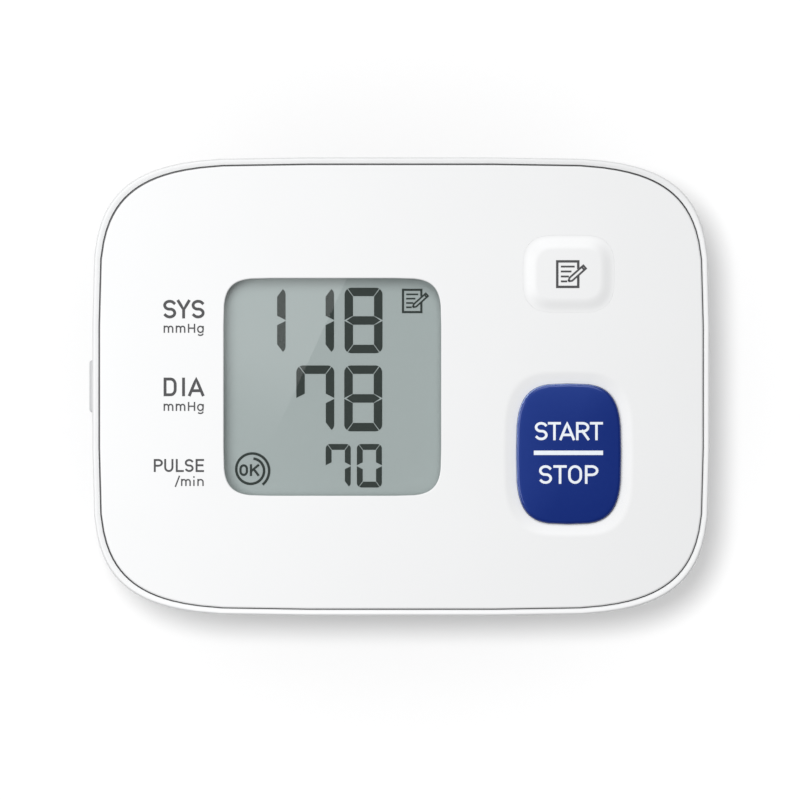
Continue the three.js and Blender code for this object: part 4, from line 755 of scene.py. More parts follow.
def makeRearShell(shell, look):
    rear = loft("rear_case_shell", shell["outline"], shellLevels(shell), shell["corner"])
    bottom, past = shell["bottom"], bench["past"]
    inside = bottom + shell["floor"] / 2
    through = inside + look["holeRise"]
    for x, y in screwPlaces:
        carve(rear, rod("pillar", x, y, inside, look["pillarTop"], look["pillar"]), "UNION")
    for x, y in postPlaces:
        carve(rear, rod("post", x, y, inside, look["postTop"], look["post"]), "UNION")
    for y in look["cradleY"]:
        carve(rear, makeCradle(look, y, inside), "UNION")
    carve(rear, leftBox("bay", shell, look["bayHalf"], look["bayRight"], look["bayTop"]))
    for x, y in screwPlaces:
        carve(rear, rod("head_hole", x, y, bottom - past, bottom + look["headDeep"], look["headHole"]))
        carve(rear, rod("shank_hole", x, y, bottom - past, look["pillarTop"] + past, look["shankHole"]))
    for x, y in postPlaces:
        carve(rear, rod("post_hole", x, y, look["postHoleFoot"], look["postTop"] + past, look["shankHole"]))
    halfX, halfY = look["slotHalf"]
    for x in look["slotX"]:
        for y in look["slotY"]:
            carve(rear, box("slot", (x - halfX, y - halfY, bottom - past), (x + halfX, y + halfY, through)))
    carve(rear, rod("air_hole", *look["airHole"], bottom - past, through, look["airRadius"]))
    smoothShade(rear, shell["shade"])
    # painted shade: the rear shell and the battery door take the darker copy of the white plastic
    dress(rear, "case", rearShadedPlastic, "white_plastic", "rear_case")


# soft edges: width, least angle and steps
doorLook = {
    "right": -18.7, "half": 23.2, "top": 65.2, "soft": (0.12, 50, 2), "tabX": (-42.6, -40.4), "tabHalf": 3.6,
    "tabZ": (61.1, 64.3), "tabSoft": (0.45, 40, 4), "tongueY": (-12.0, 12.0), "tongueHalf": 3.0,
    "tongueX": (-20.5, -16.6), "tongueZ": (53.65, 54.35), "footZ": 52.7, "grips": 5, "gripFirst": -34.2,
    "gripStep": 1.7, "gripHalf": (0.4, 7.5), "gripDeep": 0.4, "gripSoft": (0.3, 40, 3),
}


def makeBatteryDoor(shell, look):
    door = loft("battery_door_shell", shell["outline"], shellLevels(shell), shell["corner"])
    bottom, right = shell["bottom"], look["right"]
    carve(door, leftBox("keep", shell, look["half"], right, look["top"]), "INTERSECT")
    softenEdges(door, *look["soft"])
    (near, tip), (foot, top), half = look["tongueX"], look["tongueZ"], look["tongueHalf"]
    for y in look["tongueY"]:
        carve(door, box("foot", (near, y - half, look["footZ"]), (right, y + half, top)), "UNION")
        carve(door, box("tongue", (near, y - half, foot), (tip, y + half, top)), "UNION")
    halfX, halfY = look["gripHalf"]
    low, high = bottom - bench["past"], bottom + look["gripDeep"]
    for step in range(look["grips"]):
        x = look["gripFirst"] + step * look["gripStep"]
        groove = box("groove", (x - halfX, -halfY, low), (x + halfX, halfY, high))
        softenEdges(groove, *look["gripSoft"])
        carve(door, groove)
    smoothShade(door, shell["shade"])
    dress(door, "battery_door", rearShadedPlastic, "white_plastic", "battery_cover")


def makeLatchTab(shell, look):
    (left, right), (foot, top), half = look["tabX"], look["tabZ"], look["tabHalf"]
    tab = box("latch_tab", (left, -half, foot), (right, half, top))
    softenEdges(tab, *look["tabSoft"])
    smoothShade(tab, shell["shade"])
    # painted shade: the tab gets the grey finish in place of the case's white
    dress(tab, "battery_door", tabShadedGrey, "white_plastic")


makeFrontCover(caseLook, coverLook)
makeSeamShadeStrip(caseLook)
makeRearShell(caseLook, rearLook)
makeBatteryDoor(caseLook, doorLook)
makeLatchTab(caseLook, doorLook)
print("case shells and battery door done")


# keys
startLook = {"stem": 70.6, "edgeDrop": 0.15, "edgeWide": 0.45, "edgeTall": 0.4, "edgeSteps": 10,
             "edgeEnd": 0.94, "lean": 0.09, "crown": 6.3, "crownSteps": 18, "shade": 50}
memoryLook = {"stem": 70.6, "rise": 0.44, "slope": 2.0, "slopeSteps": 14, "shade": 50}


def makeStartKey(look):
    edge = caseLook["front"] - look["edgeDrop"]
    brim = (look["edgeWide"], edge + look["edgeTall"])
    levels = [(0, look["stem"])] + quarterRound((0, edge), brim, look["edgeSteps"], look["edgeEnd"])
    inset, shoulder = levels[-1]
    for step in range(1, look["crownSteps"] + 1):
        run = look["crown"] * step / look["crownSteps"]
        levels.append((inset + run, shoulder + look["lean"] * (run - run ** 2 / (2 * look["crown"]))))
    key = loft("start_key_cap", coverLook["start"], levels, coverLook["corner"])
    smoothShade(key, look["shade"])
    return dress(key, "start_key", keyBlue, "blue_plastic", "start_button")


def makeMemoryKey(look):
    front = caseLook["front"]
    slope = waveSlope((0, front), (look["slope"], front + look["rise"]), look["slopeSteps"])
    key = loft("memory_key_cap", coverLook["memory"], [(0, look["stem"])] + slope, coverLook["corner"])
    smoothShade(key, look["shade"])
    dress(key, "memory_key", whitePlastic, "white_plastic", "memory_button")


# a strip lower than the key's top, so that only the edge of the start key mirrors it
edgeStrip = {"at": (-0.1186, 0.1322, 0.026), "aim": (0.0228, -0.0092, 0.026), "size": 0.6, "tall": 0.052,
             "power": 6.5, "color": (1.0, 0.97, 0.7), "shadow": False, "diffuse": False}
startKey = makeStartKey(startLook)
makeMemoryKey(memoryLook)
shareLight(makeLamp("edge_strip", edgeStrip), startKey, True)
print("keys done")


# printed words and marks, drawn as strokes of even width; their boxes are in picture pixels
inkLook = {
    "thick": 0.025, "layer": 0.004,
    "gap": 0.7,  # longest straight step
    "mitre": (0.1, 1.5),  # least cosine and widest corner
    "closed": 0.1,  # share of the width within which both ends count as joined
    "archMiddle": 0.62, "archTall": 0.38, "archFrom": 165,
}


def bend(x, y, radiusX, radiusY, start, end, steps=8):
    turns = [math.radians(start + (end - start) * step / steps) for step in range(steps + 1)]
    return [(x + radiusX * math.cos(turn), y + radiusY * math.sin(turn)) for turn in turns]


def arch(left, right):
    # one arch of a small m or n, down to the line
    middle, half = (left + right) / 2, (right - left) / 2
    curve = bend(middle, inkLook["archMiddle"], half, inkLook["archTall"], inkLook["archFrom"], 0)
    return curve + [(right, 0)]


stem = [(0, 0), (0, 1)]
bowl = [(0, 1), (0.5, 1)] + bend(0.5, 0.74, 0.5, 0.26, 80, -80) + [(0.5, 0.48), (0, 0.48)]
letterStrokes = {
    "S": [bend(0.5, 0.745, 0.5, 0.255, 32, 250, 12) + bend(0.5, 0.255, 0.5, 0.255, 70, -148, 12)],
    "Y": [[(0, 1), (0.5, 0.46), (1, 1)], [(0.5, 0.5), (0.5, 0)]],
    "D": [[(0, 0.5), (0, 1), (0.5, 1)] + bend(0.55, 0.66, 0.45, 0.34, 80, 0)
          + bend(0.55, 0.34, 0.45, 0.34, 0, -80) + [(0.5, 0), (0, 0), (0, 0.5)]],
    "I": [stem],
    "A": [[(0, 0), (0.5, 1), (1, 0)], [(0.22, 0.26), (0.78, 0.26)]],
    "P": [stem, bowl],
    "U": [[(0, 1)] + bend(0.5, 0.34, 0.5, 0.34, 180, 360, 14) + [(1, 1)]],
    "L": [[(0, 1), (0, 0), (1, 0)]],
    "E": [[(1, 1), (0, 1), (0, 0), (1, 0)], [(0, 0.52), (0.9, 0.52)]],
    "T": [[(0, 1), (1, 1)], [(0.5, 1), (0.5, 0)]],
    "R": [stem, bowl, [(0.48, 0.5), (1, 0)]],
    "O": [[(0, 0.5)] + bend(0.5, 0.62, 0.5, 0.38, 180, 0, 14)
          + bend(0.5, 0.38, 0.5, 0.38, 0, -180, 14) + [(0, 0.5)]],
    "K": [stem, [(1, 1), (0.05, 0.4)], [(0.4, 0.6), (1, 0)]],
    "H": [stem, [(1, 0), (1, 1)], [(0, 0.52), (1, 0.52)]],
    "m": [stem, arch(0, 0.5), arch(0.5, 1)],
    "n": [stem, arch(0, 1)],
    "i": [[(0, 0), (0, 0.58)], [(0, 0.98), (0, 1)]],
    "g": [bend(0.5, 0.66, 0.5, 0.34, 0, 360, 18),
          [(1, 0.96), (1, 0.2)] + bend(0.5, 0.22, 0.5, 0.22, 0, -130, 8)],
    "/": [[(0, 0), (1, 1)]],
}


def strokeEdges(points, width, stretch):
    ends = [Vector(point) for point in points]
    ends[0] = ends[0] + (ends[0] - ends[1]).normalized() * stretch
    ends[-1] = ends[-1] + (ends[-1] - ends[-2]).normalized() * stretch
    least, most = inkLook["mitre"]
    left, right = [], []
    for index, point in enumerate(ends):
        ahead = (ends[min(index + 1, len(ends) - 1)] - point).normalized()
        behind = (point - ends[max(index - 1, 0)]).normalized()
        way = (ahead + behind).normalized()
        side = Vector((-way.y, way.x))
        straight = ahead if ahead.length > 0 else behind
        mitre = min(most, 1 / max(least, side.dot(Vector((-straight.y, straight.x)))))
        left.append(point + side * width / 2 * mitre)
        right.append(point - side * width / 2 * mitre)
    return left, right


def closerPoints(points, gap):
    # long straight stretches get points of their own, so that a stroke can follow a dome
    closer = [points[0]]
    for start, end in zip(points, points[1:]):
        pieces = max(1, math.ceil((Vector(end) - Vector(start)).length / gap))
        closer += [tuple(Vector(start).lerp(Vector(end), step / pieces)) for step in range(1, pieces + 1)]
    return closer


def inkStroke(points, width, ground, stretch=None, layer=0):
    thick = inkLook["thick"] + layer * inkLook["layer"]  # strokes that cross lie one over the other
    if stretch is None:
        closed = math.dist(points[0], points[-1]) < width * inkLook["closed"]
        stretch = 0 if closed else width / 2
    left, right = strokeEdges(closerPoints(points, inkLook["gap"]), width, stretch)
    rings = []
    for near, far in zip(left, right):
        low, high = ground(*near), ground(*far)
        rings.append([(*near, low - thick), (*far, high - thick), (*far, high + thick), (*near, low + thick)])
    return skinRings("stroke", rings)


def letter(sign, left, right, top, foot, width, ground):
    x0, y0 = spot(left, foot)
    x1, y1 = spot(right, top)
    half = width / 2
    strokes = []
    for number, points in enumerate(letterStrokes[sign]):
        placed = [(x0 + half + u * (x1 - x0 - width), y0 + half + v * (y1 - y0 - width)) for u, v in points]
        strokes.append(inkStroke(placed, width, ground, layer=number))
    return strokes


def word(name, look, ground):
    strokes = []
    for sign, left, right in look["letters"]:
        top, foot = look.get("tall", {}).get(sign, (look["top"], look["foot"]))
        strokes += letter(sign, left, right, top, foot, look["stroke"], ground)
    return joinPieces(name, strokes)


def onPanel(x, y):
    return caseLook["front"]


def onStartKey(x, y):
    crown = max(corner[2] for corner in startKey.bound_box)
    above = Vector((x * mm, y * mm, crown + bench["past"] * mm))
    hit, place, normal, face = startKey.ray_cast(above, Vector((0, 0, -1)))
    return (place.z if hit else crown) / mm


def onMemoryKey(x, y):
    return caseLook["front"] + memoryLook["rise"]


def unitWord(top, foot, headTop, tailFoot):
    return {"letters": [("m", 163.6, 173.4), ("m", 175.7, 185.4), ("H", 187.9, 195.2), ("g", 197.0, 203.8)],
            "top": top, "foot": foot, "stroke": 0.19, "tall": {"H": (headTop, foot), "g": (top, tailFoot)}}


panelWords = {
    "legend_sys": {"letters": [("S", 163.2, 176.2), ("Y", 177.0, 190.2), ("S", 191.6, 204.6)],
                   "top": 299.8, "foot": 318.4, "stroke": 0.39},
    "legend_sys_unit": unitWord(325.6, 332.8, 323.8, 336.0),
    "legend_dia": {"letters": [("D", 163.6, 176.6), ("I", 182.1, 184.8), ("A", 188.2, 204.2)],
                   "top": 377.6, "foot": 396.2, "stroke": 0.39},
    "legend_dia_unit": unitWord(403.7, 410.9, 401.9, 414.1),
    "legend_pulse": {"letters": [("P", 153.8, 162.9), ("U", 164.2, 173.4), ("L", 175.8, 183.8),
                                 ("S", 184.8, 193.6), ("E", 195.6, 204.0)],
                     "top": 459.0, "foot": 472.0, "stroke": 0.265},
    "legend_pulse_unit": {"letters": [("/", 174.8, 180.0), ("m", 181.0, 190.8), ("i", 193.2, 195.2),
                                      ("n", 197.3, 203.7)],
                          "top": 478.9, "foot": 486.0, "stroke": 0.19,
                          "tall": {"/": (475.6, 487.0), "i": (476.2, 486.0)}},
}
keyWords = {
    "legend_start": {"letters": [("S", 534.8, 547.6), ("T", 547.9, 560.9), ("A", 559.4, 574.8),
                                 ("R", 576.0, 589.3), ("T", 589.9, 602.9)],
                     "top": 422.0, "foot": 440.2, "stroke": 0.34},
    "legend_stop": {"letters": [("S", 539.0, 552.0), ("T", 553.3, 566.7), ("O", 568.1, 582.0),
                                ("P", 584.9, 598.4)],
                    "top": 465.2, "foot": 483.8, "stroke": 0.345},
}
keyBar = {"ends": [(533.8, 452.8), (603.0, 452.8)], "stroke": 0.6}

# a note sheet with a pencil, used on the memory key and in the display
notePad = {
    "page": (557.2, 261.4, 578.2, 286.9), "break": (267.9, 276.9), "lineFrom": 560.8,
    "lines": [(266.6, 574.6), (271.5, 571.4), (276.5, 568.8), (281.4, 567.2)],
    "pencilTip": (568.4, 281.4), "pencilEnd": (584.6, 267.0), "pencilHalf": 2.0, "neck": 1.6, "cap": 1.1,
    "stroke": 0.33, "fine": 0.25,
}


def makeNotePad(name, look, ground, shift=(0, 0), size=1.0, stroke=1.0):
    left, top, right, foot = look["page"]
    upper, lower = look["break"]

    def draw(points, width, **ways):
        placed = [spot((px - left) * size + left + shift[0], (py - top) * size + top + shift[1])
                  for px, py in points]
        return inkStroke(placed, width * stroke, ground, **ways)

    tip, end, half = Vector(look["pencilTip"]), Vector(look["pencilEnd"]), look["pencilHalf"]
    way = (end - tip).normalized()
    side = Vector((-way.y, way.x)) * half
    neck = tip + way * half * look["neck"]
    cap = end - way * half * look["cap"]
    page = [(right, upper), (right, top), (left, top), (left, foot), (right, foot), (right, lower)]
    barrel = [tip, neck + side, end + side, end - side, neck - side, tip]
    drawn = [draw(page, look["stroke"])]
    for py, px in look["lines"]:
        drawn.append(draw([(look["lineFrom"], py), (px, py)], look["fine"], stretch=0, layer=1))
    drawn.append(draw(barrel, look["fine"], layer=2))
    drawn.append(draw([cap + side, cap - side], look["fine"], stretch=0, layer=3))
    return joinPieces(name, drawn)


for name, look in panelWords.items():
    dress(word(name, look, onPanel), "case", inkGrey, "black_plastic")
for name, look in keyWords.items():
    dress(word(name, look, onStartKey), "start_key", inkWhite, "white_plastic")
bar = inkStroke([spot(*end) for end in keyBar["ends"]], keyBar["stroke"], onStartKey, stretch=0)
bar.name = bar.data.name = "legend_bar"
dress(bar, "start_key", inkWhite, "white_plastic")
dress(makeNotePad("legend_memory", notePad, onMemoryKey), "memory_key", inkGrey, "black_plastic")
print("words and marks done")


# display: glass cell, its reading, and the clear window over it
cellBox = nodeBox("lcd_panel")
lensBox = nodeBox("lcd_window")
displayLook = {"cellTop": cellBox[1][2], "cellSoft": (0.3, 40, 3), "ink": 0.02, "lensFoot": lensBox[0][2],
               "lensTop": lensBox[1][2], "lensLap": 1.4, "lensSoft": 0.12, "lensSteps": 4, "shade": 40}
litSegments = {"0": "abcdef", "1": "bc", "7": "abcf", "8": "abcdefg"}
readings = {
    "reading_upper": {"digits": [("1", 247.5), ("1", 296.0), ("8", 344.5)], "top": 287.6, "wide": 38.0,
                      "tall": 65.6, "stroke": 8.5},
    "reading_middle": {"digits": [("7", 296.2), ("8", 344.2)], "top": 365.4, "wide": 38.0,
                       "tall": 66.0, "stroke": 8.5},
    "reading_lower": {"digits": [("7", 325.6), ("0", 356.8)], "top": 444.0, "wide": 25.1,
                      "tall": 43.6, "stroke": 5.9},
}
segmentLook = {"gap": 0.45, "corner": 0.8, "tip": 0.25, "overBend": (120, 90, 3), "sideBend": (53, 0, 4)}


def segmentShape(name, wide, tall, stroke):
    gap, mid, half = segmentLook["gap"], tall / 2, stroke / 2
    tip = segmentLook["tip"] * stroke
    corner = segmentLook["corner"] * stroke
    if name in "ad":
        rounded = bend(corner, tall - corner, corner, corner, *segmentLook["overBend"])
        rounded += [(wide - x, y) for x, y in reversed(rounded)]
        shape = rounded + [(wide - stroke - gap, tall - stroke), (stroke + gap, tall - stroke)]
    elif name in "bcef":
        rounded = bend(wide - corner, tall - corner, corner, corner, *segmentLook["sideBend"])
        shape = rounded + [(wide, mid + gap), (wide - stroke, mid + half + gap),
                           (wide - stroke, tall - stroke - gap)]
    else:
        shape = [(tip, mid), (stroke, mid + half), (wide - stroke, mid + half), (wide - tip, mid),
                 (wide - stroke, mid - half), (stroke, mid - half)]
    if name in "ef":
        shape = [(wide - x, y) for x, y in shape]
    return [(x, tall - y) for x, y in shape] if name in "dce" else shape


def makeReading(name, look):
    top, ink = displayLook["cellTop"], displayLook["ink"]
    parts = []
    for digit, left in look["digits"]:
        for segment in litSegments[digit]:
            shape = segmentShape(segment, look["wide"], look["tall"], look["stroke"])
            placed = [spot(left + x, look["top"] + look["tall"] - y) for x, y in shape]
            rings = [[(*place, z) for place in placed] for z in (top - ink, top + ink)]
            parts.append(skinRings("segment", rings))
    return joinPieces(name, parts)


def onCell(x, y):
    return displayLook["cellTop"]


okLook = {"at": (251.3, 470.0), "inner": 11.5, "outer": 18.5, "start": 80, "turn": 493, "steps": 72,
          "stroke": 0.35, "letters": [("O", 239.2, 247.9), ("K", 249.7, 259.1)], "top": 464.3, "foot": 476.1,
          "letterStroke": 0.31}


def makeOkMark(look):
    # a band wound round itself, with its letters inside
    wound = []
    for step in range(look["steps"] + 1):
        share = step / look["steps"]
        turn = math.radians(look["start"] - look["turn"] * share)
        radius = look["inner"] + (look["outer"] - look["inner"]) * share
        wound.append(spot(look["at"][0] + radius * math.cos(turn), look["at"][1] - radius * math.sin(turn)))
    parts = [inkStroke(wound, look["stroke"], onCell, stretch=0)]
    for sign, left, right in look["letters"]:
        parts += letter(sign, left, right, look["top"], look["foot"], look["letterStroke"], onCell)
    return joinPieces("reading_ok", parts)


def makeDisplay(look):
    cell = box("display_cell", *cellBox)
    softenEdges(cell, *look["cellSoft"])
    smoothShade(cell, look["shade"])
    dress(cell, "case", displayGlass, "display_glass", "lcd_panel")

    foot, top, soft = look["lensFoot"], look["lensTop"], look["lensSoft"]
    levels = [(soft, foot), (0, foot + soft)] + quarterRound((0, top - soft), (soft, top), look["lensSteps"])
    lens = loft("display_window", grown(coverLook["window"], look["lensLap"]), levels, coverLook["corner"])
    smoothShade(lens, look["shade"])
    lens.visible_shadow = False  # lamps shine through it
    return dress(lens, "case", lensClear, "clear_lens", "lcd_window")


# a pale card that only the window mirrors; its right edge runs between two places of the picture
cardLook = {"from": (272, 440), "to": (346, 280), "over": 500, "wide": 40, "long": 60, "power": 0.0063,
            "fade": (0.2, 0.52)}


def makeCard(lens, look):
    eye = camera.location / mm
    height = look["over"] / (eye.z - displayLook["lensTop"])
    foot, head = [Vector(spot(*look[key])) for key in ("from", "to")]
    foot, head = [place + (place - eye.xy) * height for place in (foot, head)]
    along = (head - foot).normalized()
    x, y = ((foot + head) / 2 + Vector((-along.y, along.x)) * look["wide"] / 2) * mm
    at = (x, y, (displayLook["lensTop"] + look["over"]) * mm)
    card = makeLamp("pale_card", {"at": at, "aim": (x, y, 0), "size": look["wide"] * mm,
                                  "tall": look["long"] * mm, "power": look["power"]})
    card.rotation_euler = (0, 0, math.atan2(along.y, along.x) - math.pi / 2)
    card.data.use_nodes = True  # the card darkens towards its foot
    tree = card.data.node_tree
    place = addNode(tree, "ShaderNodeNewGeometry").outputs["Parametric"]
    rise = addNode(tree, "ShaderNodeSeparateXYZ", {"Vector": place}).outputs["Y"]
    values = {"Value": rise, "From Min": look["fade"][0], "From Max": look["fade"][1]}
    fade = addNode(tree, "ShaderNodeMapRange", values, interpolation_type="SMOOTHSTEP")
    feed(tree, tree.nodes["Emission"].inputs["Strength"], fade.outputs["Result"])
    shareLight(card, lens, True)


signLook = {"shift": (-154.2, 28.3), "size": 0.875, "stroke": 0.91}
makeCard(makeDisplay(displayLook), cardLook)
signs = [makeReading(name, look) for name, look in readings.items()]
signs += [makeOkMark(okLook), makeNotePad("reading_memory", notePad, onCell, **signLook)]
for sign in signs:
    dress(sign, "case", segmentInk, "display_glass")
print("display done")


# cuff: a flat-topped loop that every cloth piece follows
cuffLoop = {"centre": 26.5, "flat": 14.0, "mid": 22.0}
arcLength = math.pi * cuffLoop["mid"]
flatLength = 2 * cuffLoop["flat"]


def loopLength(angle):
    # along the middle of the band, from straight below on the right
    halfTurns = 0 if angle <= 90 else 1 if angle <= 270 else 2
    return math.radians(angle + 90) * cuffLoop["mid"] + halfTurns * flatLength


def bandEnds(look):
    return [loopLength(angle) for angle in look["span"]]


def onLoop(length, radius, y):
    lap = length % (2 * (arcLength + flatLength))
    side = 1 if lap < arcLength + flatLength else -1
    along = lap if side == 1 else lap - arcLength - flatLength
    turn = min(along, arcLength) / cuffLoop["mid"] - math.pi / 2 + (0 if side == 1 else math.pi)
    shift = cuffLoop["flat"] - max(0, along - arcLength)
    return (side * shift + radius * math.cos(turn), y, cuffLoop["centre"] + radius * math.sin(turn))


def tuckIn(distance, corner):
    return corner - math.sqrt(corner ** 2 - (corner - distance) ** 2) if distance < corner else 0


pocketLook = {"cornerMost": 0.9, "wallMost": 0.4, "edgeBend": (180, 100, 5), "edgeRelief": 0.3,
              "innerRise": 0.7, "innerCorner": 0.6, "innerSpan": 0.8, "innerSteps": 8}
sheetLook = {"rightBend": (60, -60, 4), "leftBend": (240, 120, 4)}
reliefLook = {"wave": 0.11, "fineWave": 0.32, "fineShare": 0.5, "fineSeed": 7, "seamWide": 0.55}


def overTop(look, half, edge, tall):
    span = 2 * (half - edge)
    return [(edge - half + span * step / look["across"], tall, 1) for step in range(look["across"] + 1)]


def otherSide(points):
    return [(-y, rise, share) for y, rise, share in reversed(points)]


def pocketProfile(look, half, tall):
    # over the outside from edge to edge, then back inside the wall: (across, rise, share of relief)
    own = pocketLook
    corner = min(look["corner"], tall * own["cornerMost"])
    wall = min(look["wall"], tall * own["wallMost"])
    upright = tall - corner
    edge = bend(corner - half, upright, corner, corner, *own["edgeBend"])
    left = [(-half, 0, 0), (-half, upright / 2, 0)] + [(y, rise, own["edgeRelief"]) for y, rise in edge]
    outer = left + overTop(look, half, corner, tall) + otherSide(left)
    inHalf, roof = half - wall, tall - wall
    right = [(inHalf, 0, 0), (inHalf, upright * own["innerRise"], 0)]
    right.append((inHalf - corner * own["innerCorner"], roof, 0))
    shares = [own["innerSpan"] * (1 - 2 * step / own["innerSteps"]) for step in range(own["innerSteps"] + 1)]
    return outer + right + [(inHalf * share, roof, 0) for share in shares] + otherSide(right)


def sheetProfile(look, half, tall):
    # a flat sheet with rounded edges
    edge = tall / 2
    over = overTop(look, half, edge, tall)
    right = [(y, rise, 1) for y, rise in bend(half - edge, edge, edge, edge, *sheetLook["rightBend"])]
    under = [(-y, 0, 1) for y, rise, share in over]
    left = [(y, rise, 1) for y, rise in bend(edge - half, edge, edge, edge, *sheetLook["leftBend"])]
    return over + right + under + left


def ripple(length, y, seed, size):
    return noise.noise(Vector((length * size, y * size, seed)))


def relief(look, length, y, half):
    # sewn lines pull the cloth down and pucker the edge beside them
    own, seed = reliefLook, look["seed"]
    fine = own["fineShare"] * ripple(length, y, seed + own["fineSeed"], own["fineWave"])
    lift = look["ripple"] * (ripple(length, y, seed, own["wave"]) + fine)
    seam = half - look["seamIn"]
    lift -= look["seamDeep"] * math.exp(-((abs(y) - seam) / own["seamWide"]) ** 2)
    if abs(y) > seam:
        lift += look["pucker"] * math.sin(length * 2 * math.pi / look["stitchStep"])
    return lift


def bandPiece(name, look):
    start, end = bandEnds(look)
    count = math.ceil((end - start) / look["spacing"])
    lengths = sorted({start + share for share in look["ends"]} | {end - share for share in look["ends"]}
                     | {start + (end - start) * step / count for step in range(1, count)})
    rings, lay = [], []
    for length in lengths:
        before, after = length - start, end - length
        closed = min(1, before / look["endRound"], after / look["endRound"])
        tall = look["tall"] * max(look["endShare"], math.sqrt(1 - (1 - closed) ** 2))
        half = look["half"] - tuckIn(before, look["corners"][0]) - tuckIn(after, look["corners"][1])
        share = before / (end - start)
        base = look["base"] + look["climb"] * share * share * (3 - 2 * share)
        ring, spots, girth = [], [], 0
        previous = None
        for y, rise, part in look["profile"](look, half, tall):
            if previous:
                girth += math.dist(previous, (y, rise))
            previous = (y, rise)
            ring.append(onLoop(length, base + rise + part * closed * relief(look, length, y, half), y))
            spots.append((before, girth))
        rings.append(ring)
        lay.append(spots)
    piece = skinRings(name, rings, lay)
    smoothShade(piece, look["shade"])
    return piece


# span: angles round the loop; corners: at the start and at the end; ends: extra rings near both ends
clothBase = {
    "profile": sheetProfile, "spacing": 1.5, "across": 40, "ends": (0, 0.12, 0.3, 0.6, 1.0), "endRound": 2.2,
    "endShare": 0.14, "corners": (1.0, 1.0), "corner": 1.5, "wall": 0.9, "climb": 0.0, "ripple": 0.10,
    "seamIn": 3.0, "seamDeep": 0.22, "pucker": 0.05, "stitchStep": 2.8, "seamTrim": 4.0, "shade": 60,
}
sleeveBase = {**clothBase, "profile": pocketProfile, "base": 19.5, "half": 27.8, "finish": sleeveCloth,
              "slot": "grey_fabric", "fill": 0.5}
liningBase = {**clothBase, "base": 18.5, "tall": 0.8, "half": 27.3, "ripple": 0.12, "endRound": 0.5,
              "endShare": 0.5, "finish": liningCloth, "slot": "dark_fabric", "held": "stretched"}
unsewn = {**clothBase, "seamDeep": 0.0, "pucker": 0.0}
bands = {
    "cuff_sleeve": {**sleeveBase, "span": (-25, 235.45), "tall": 4.2, "corners": (7.0, 1.0), "seed": 3,
                    "body": "case", "solid": "cuff_sheath"},
    "cuff_inner_lining": {**liningBase, "span": (-24.4, 235.3), "corners": (6.5, 1.0), "seed": 5,
                          "body": "case", "solid": "cuff_lining", "rests": "cuff_sleeve"},
    "cuff_air_bag": {**clothBase, "span": (-20, 230), "base": 19.75, "tall": 1.4, "half": 26.2,
                     "corners": (5.0, 5.0), "endRound": 4.0, "endShare": 0.3, "ripple": 0.08, "seamIn": 2.4,
                     "seamDeep": 0.35, "pucker": 0.03, "seed": 9, "body": "case", "finish": bladderFilm,
                     "slot": "bladder_film", "solid": "air_bladder", "fill": 0.2},
    "cuff_stiffener": {**unsewn, "span": (-20, 230), "base": 21.5, "tall": 1.0, "half": 25.8,
                       "corners": (9.0, 4.0), "endRound": 0.5, "endShare": 0.5, "ripple": 0.0, "seed": 11,
                       "body": "case", "finish": whitePlastic, "slot": "white_plastic",
                       "solid": "cuff_curler"},
    "flap_sleeve": {**sleeveBase, "span": (235.95, 315), "tall": 4.75, "corners": (1.0, 7.0), "seed": 13,
                    "body": "flap", "solid": "flap_sheath"},
    "flap_inner_lining": {**liningBase, "span": (236.1, 314.4), "corners": (1.0, 6.5), "seed": 15,
                          "body": "flap", "solid": "flap_lining", "rests": "flap_sleeve"},
    "flap_foam": {**unsewn, "span": (241.5, 310), "base": 19.75, "tall": 2.6, "half": 26.2,
                  "corners": (3.0, 4.0), "ripple": 0.06, "seed": 17, "body": "flap", "finish": foamGrey,
                  "slot": "bladder_film", "solid": "flap_pad", "fill": 0.8},
    "closing_strap": {**clothBase, "span": (250, 385), "base": 24.75, "tall": 1.7, "half": 25,
                      "corners": (2.0, 14.0), "endRound": 1.2, "endShare": 0.35, "ripple": 0.03,
                      "seamIn": 2.2, "seamDeep": 0.12, "pucker": 0.0, "seamTrim": 15.0, "seed": 19,
                      "body": "flap", "finish": strapCloth, "slot": "grey_fabric", "solid": "cuff_strap",
                      "held": "laid", "rests": "flap_sleeve"},
    "hook_patch": {**unsewn, "span": (338.4, 381.6), "base": 24.28, "tall": 0.3, "half": 20.8,
                   "corners": (2.5, 9.0), "endRound": 0.3, "endShare": 0.6, "ripple": 0.0, "across": 12,
                   "spacing": 2.0, "seed": 23, "body": "flap", "finish": hookTape, "slot": "dark_fabric",
                   "solid": "hook_pad"},
}
foldLook = {**clothBase, "span": (221, 248.5), "base": 23.85, "climb": 0.62, "tall": 0.3, "half": 26.2,
            "endRound": 0.3, "endShare": 0.5, "spacing": 0.5, "ripple": 0.03, "seamIn": 1.6, "seamDeep": 0.05,
            "pucker": 0.0, "seed": 29, "bends": (234.0, 237.6), "bendRadius": 24.0}


def makeBand(name, look):
    piece = dress(bandPiece(name, look), look["body"], look["finish"], look["slot"], look["solid"])


def makeFoldTape(look):
    tape = bandPiece("fold_tape", look)
    tape.data.materials.append(sleeveCloth)
    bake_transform(tape)


for name, look in bands.items():
    makeBand(name, look)
makeFoldTape(foldLook)
print("cuff cloth done")


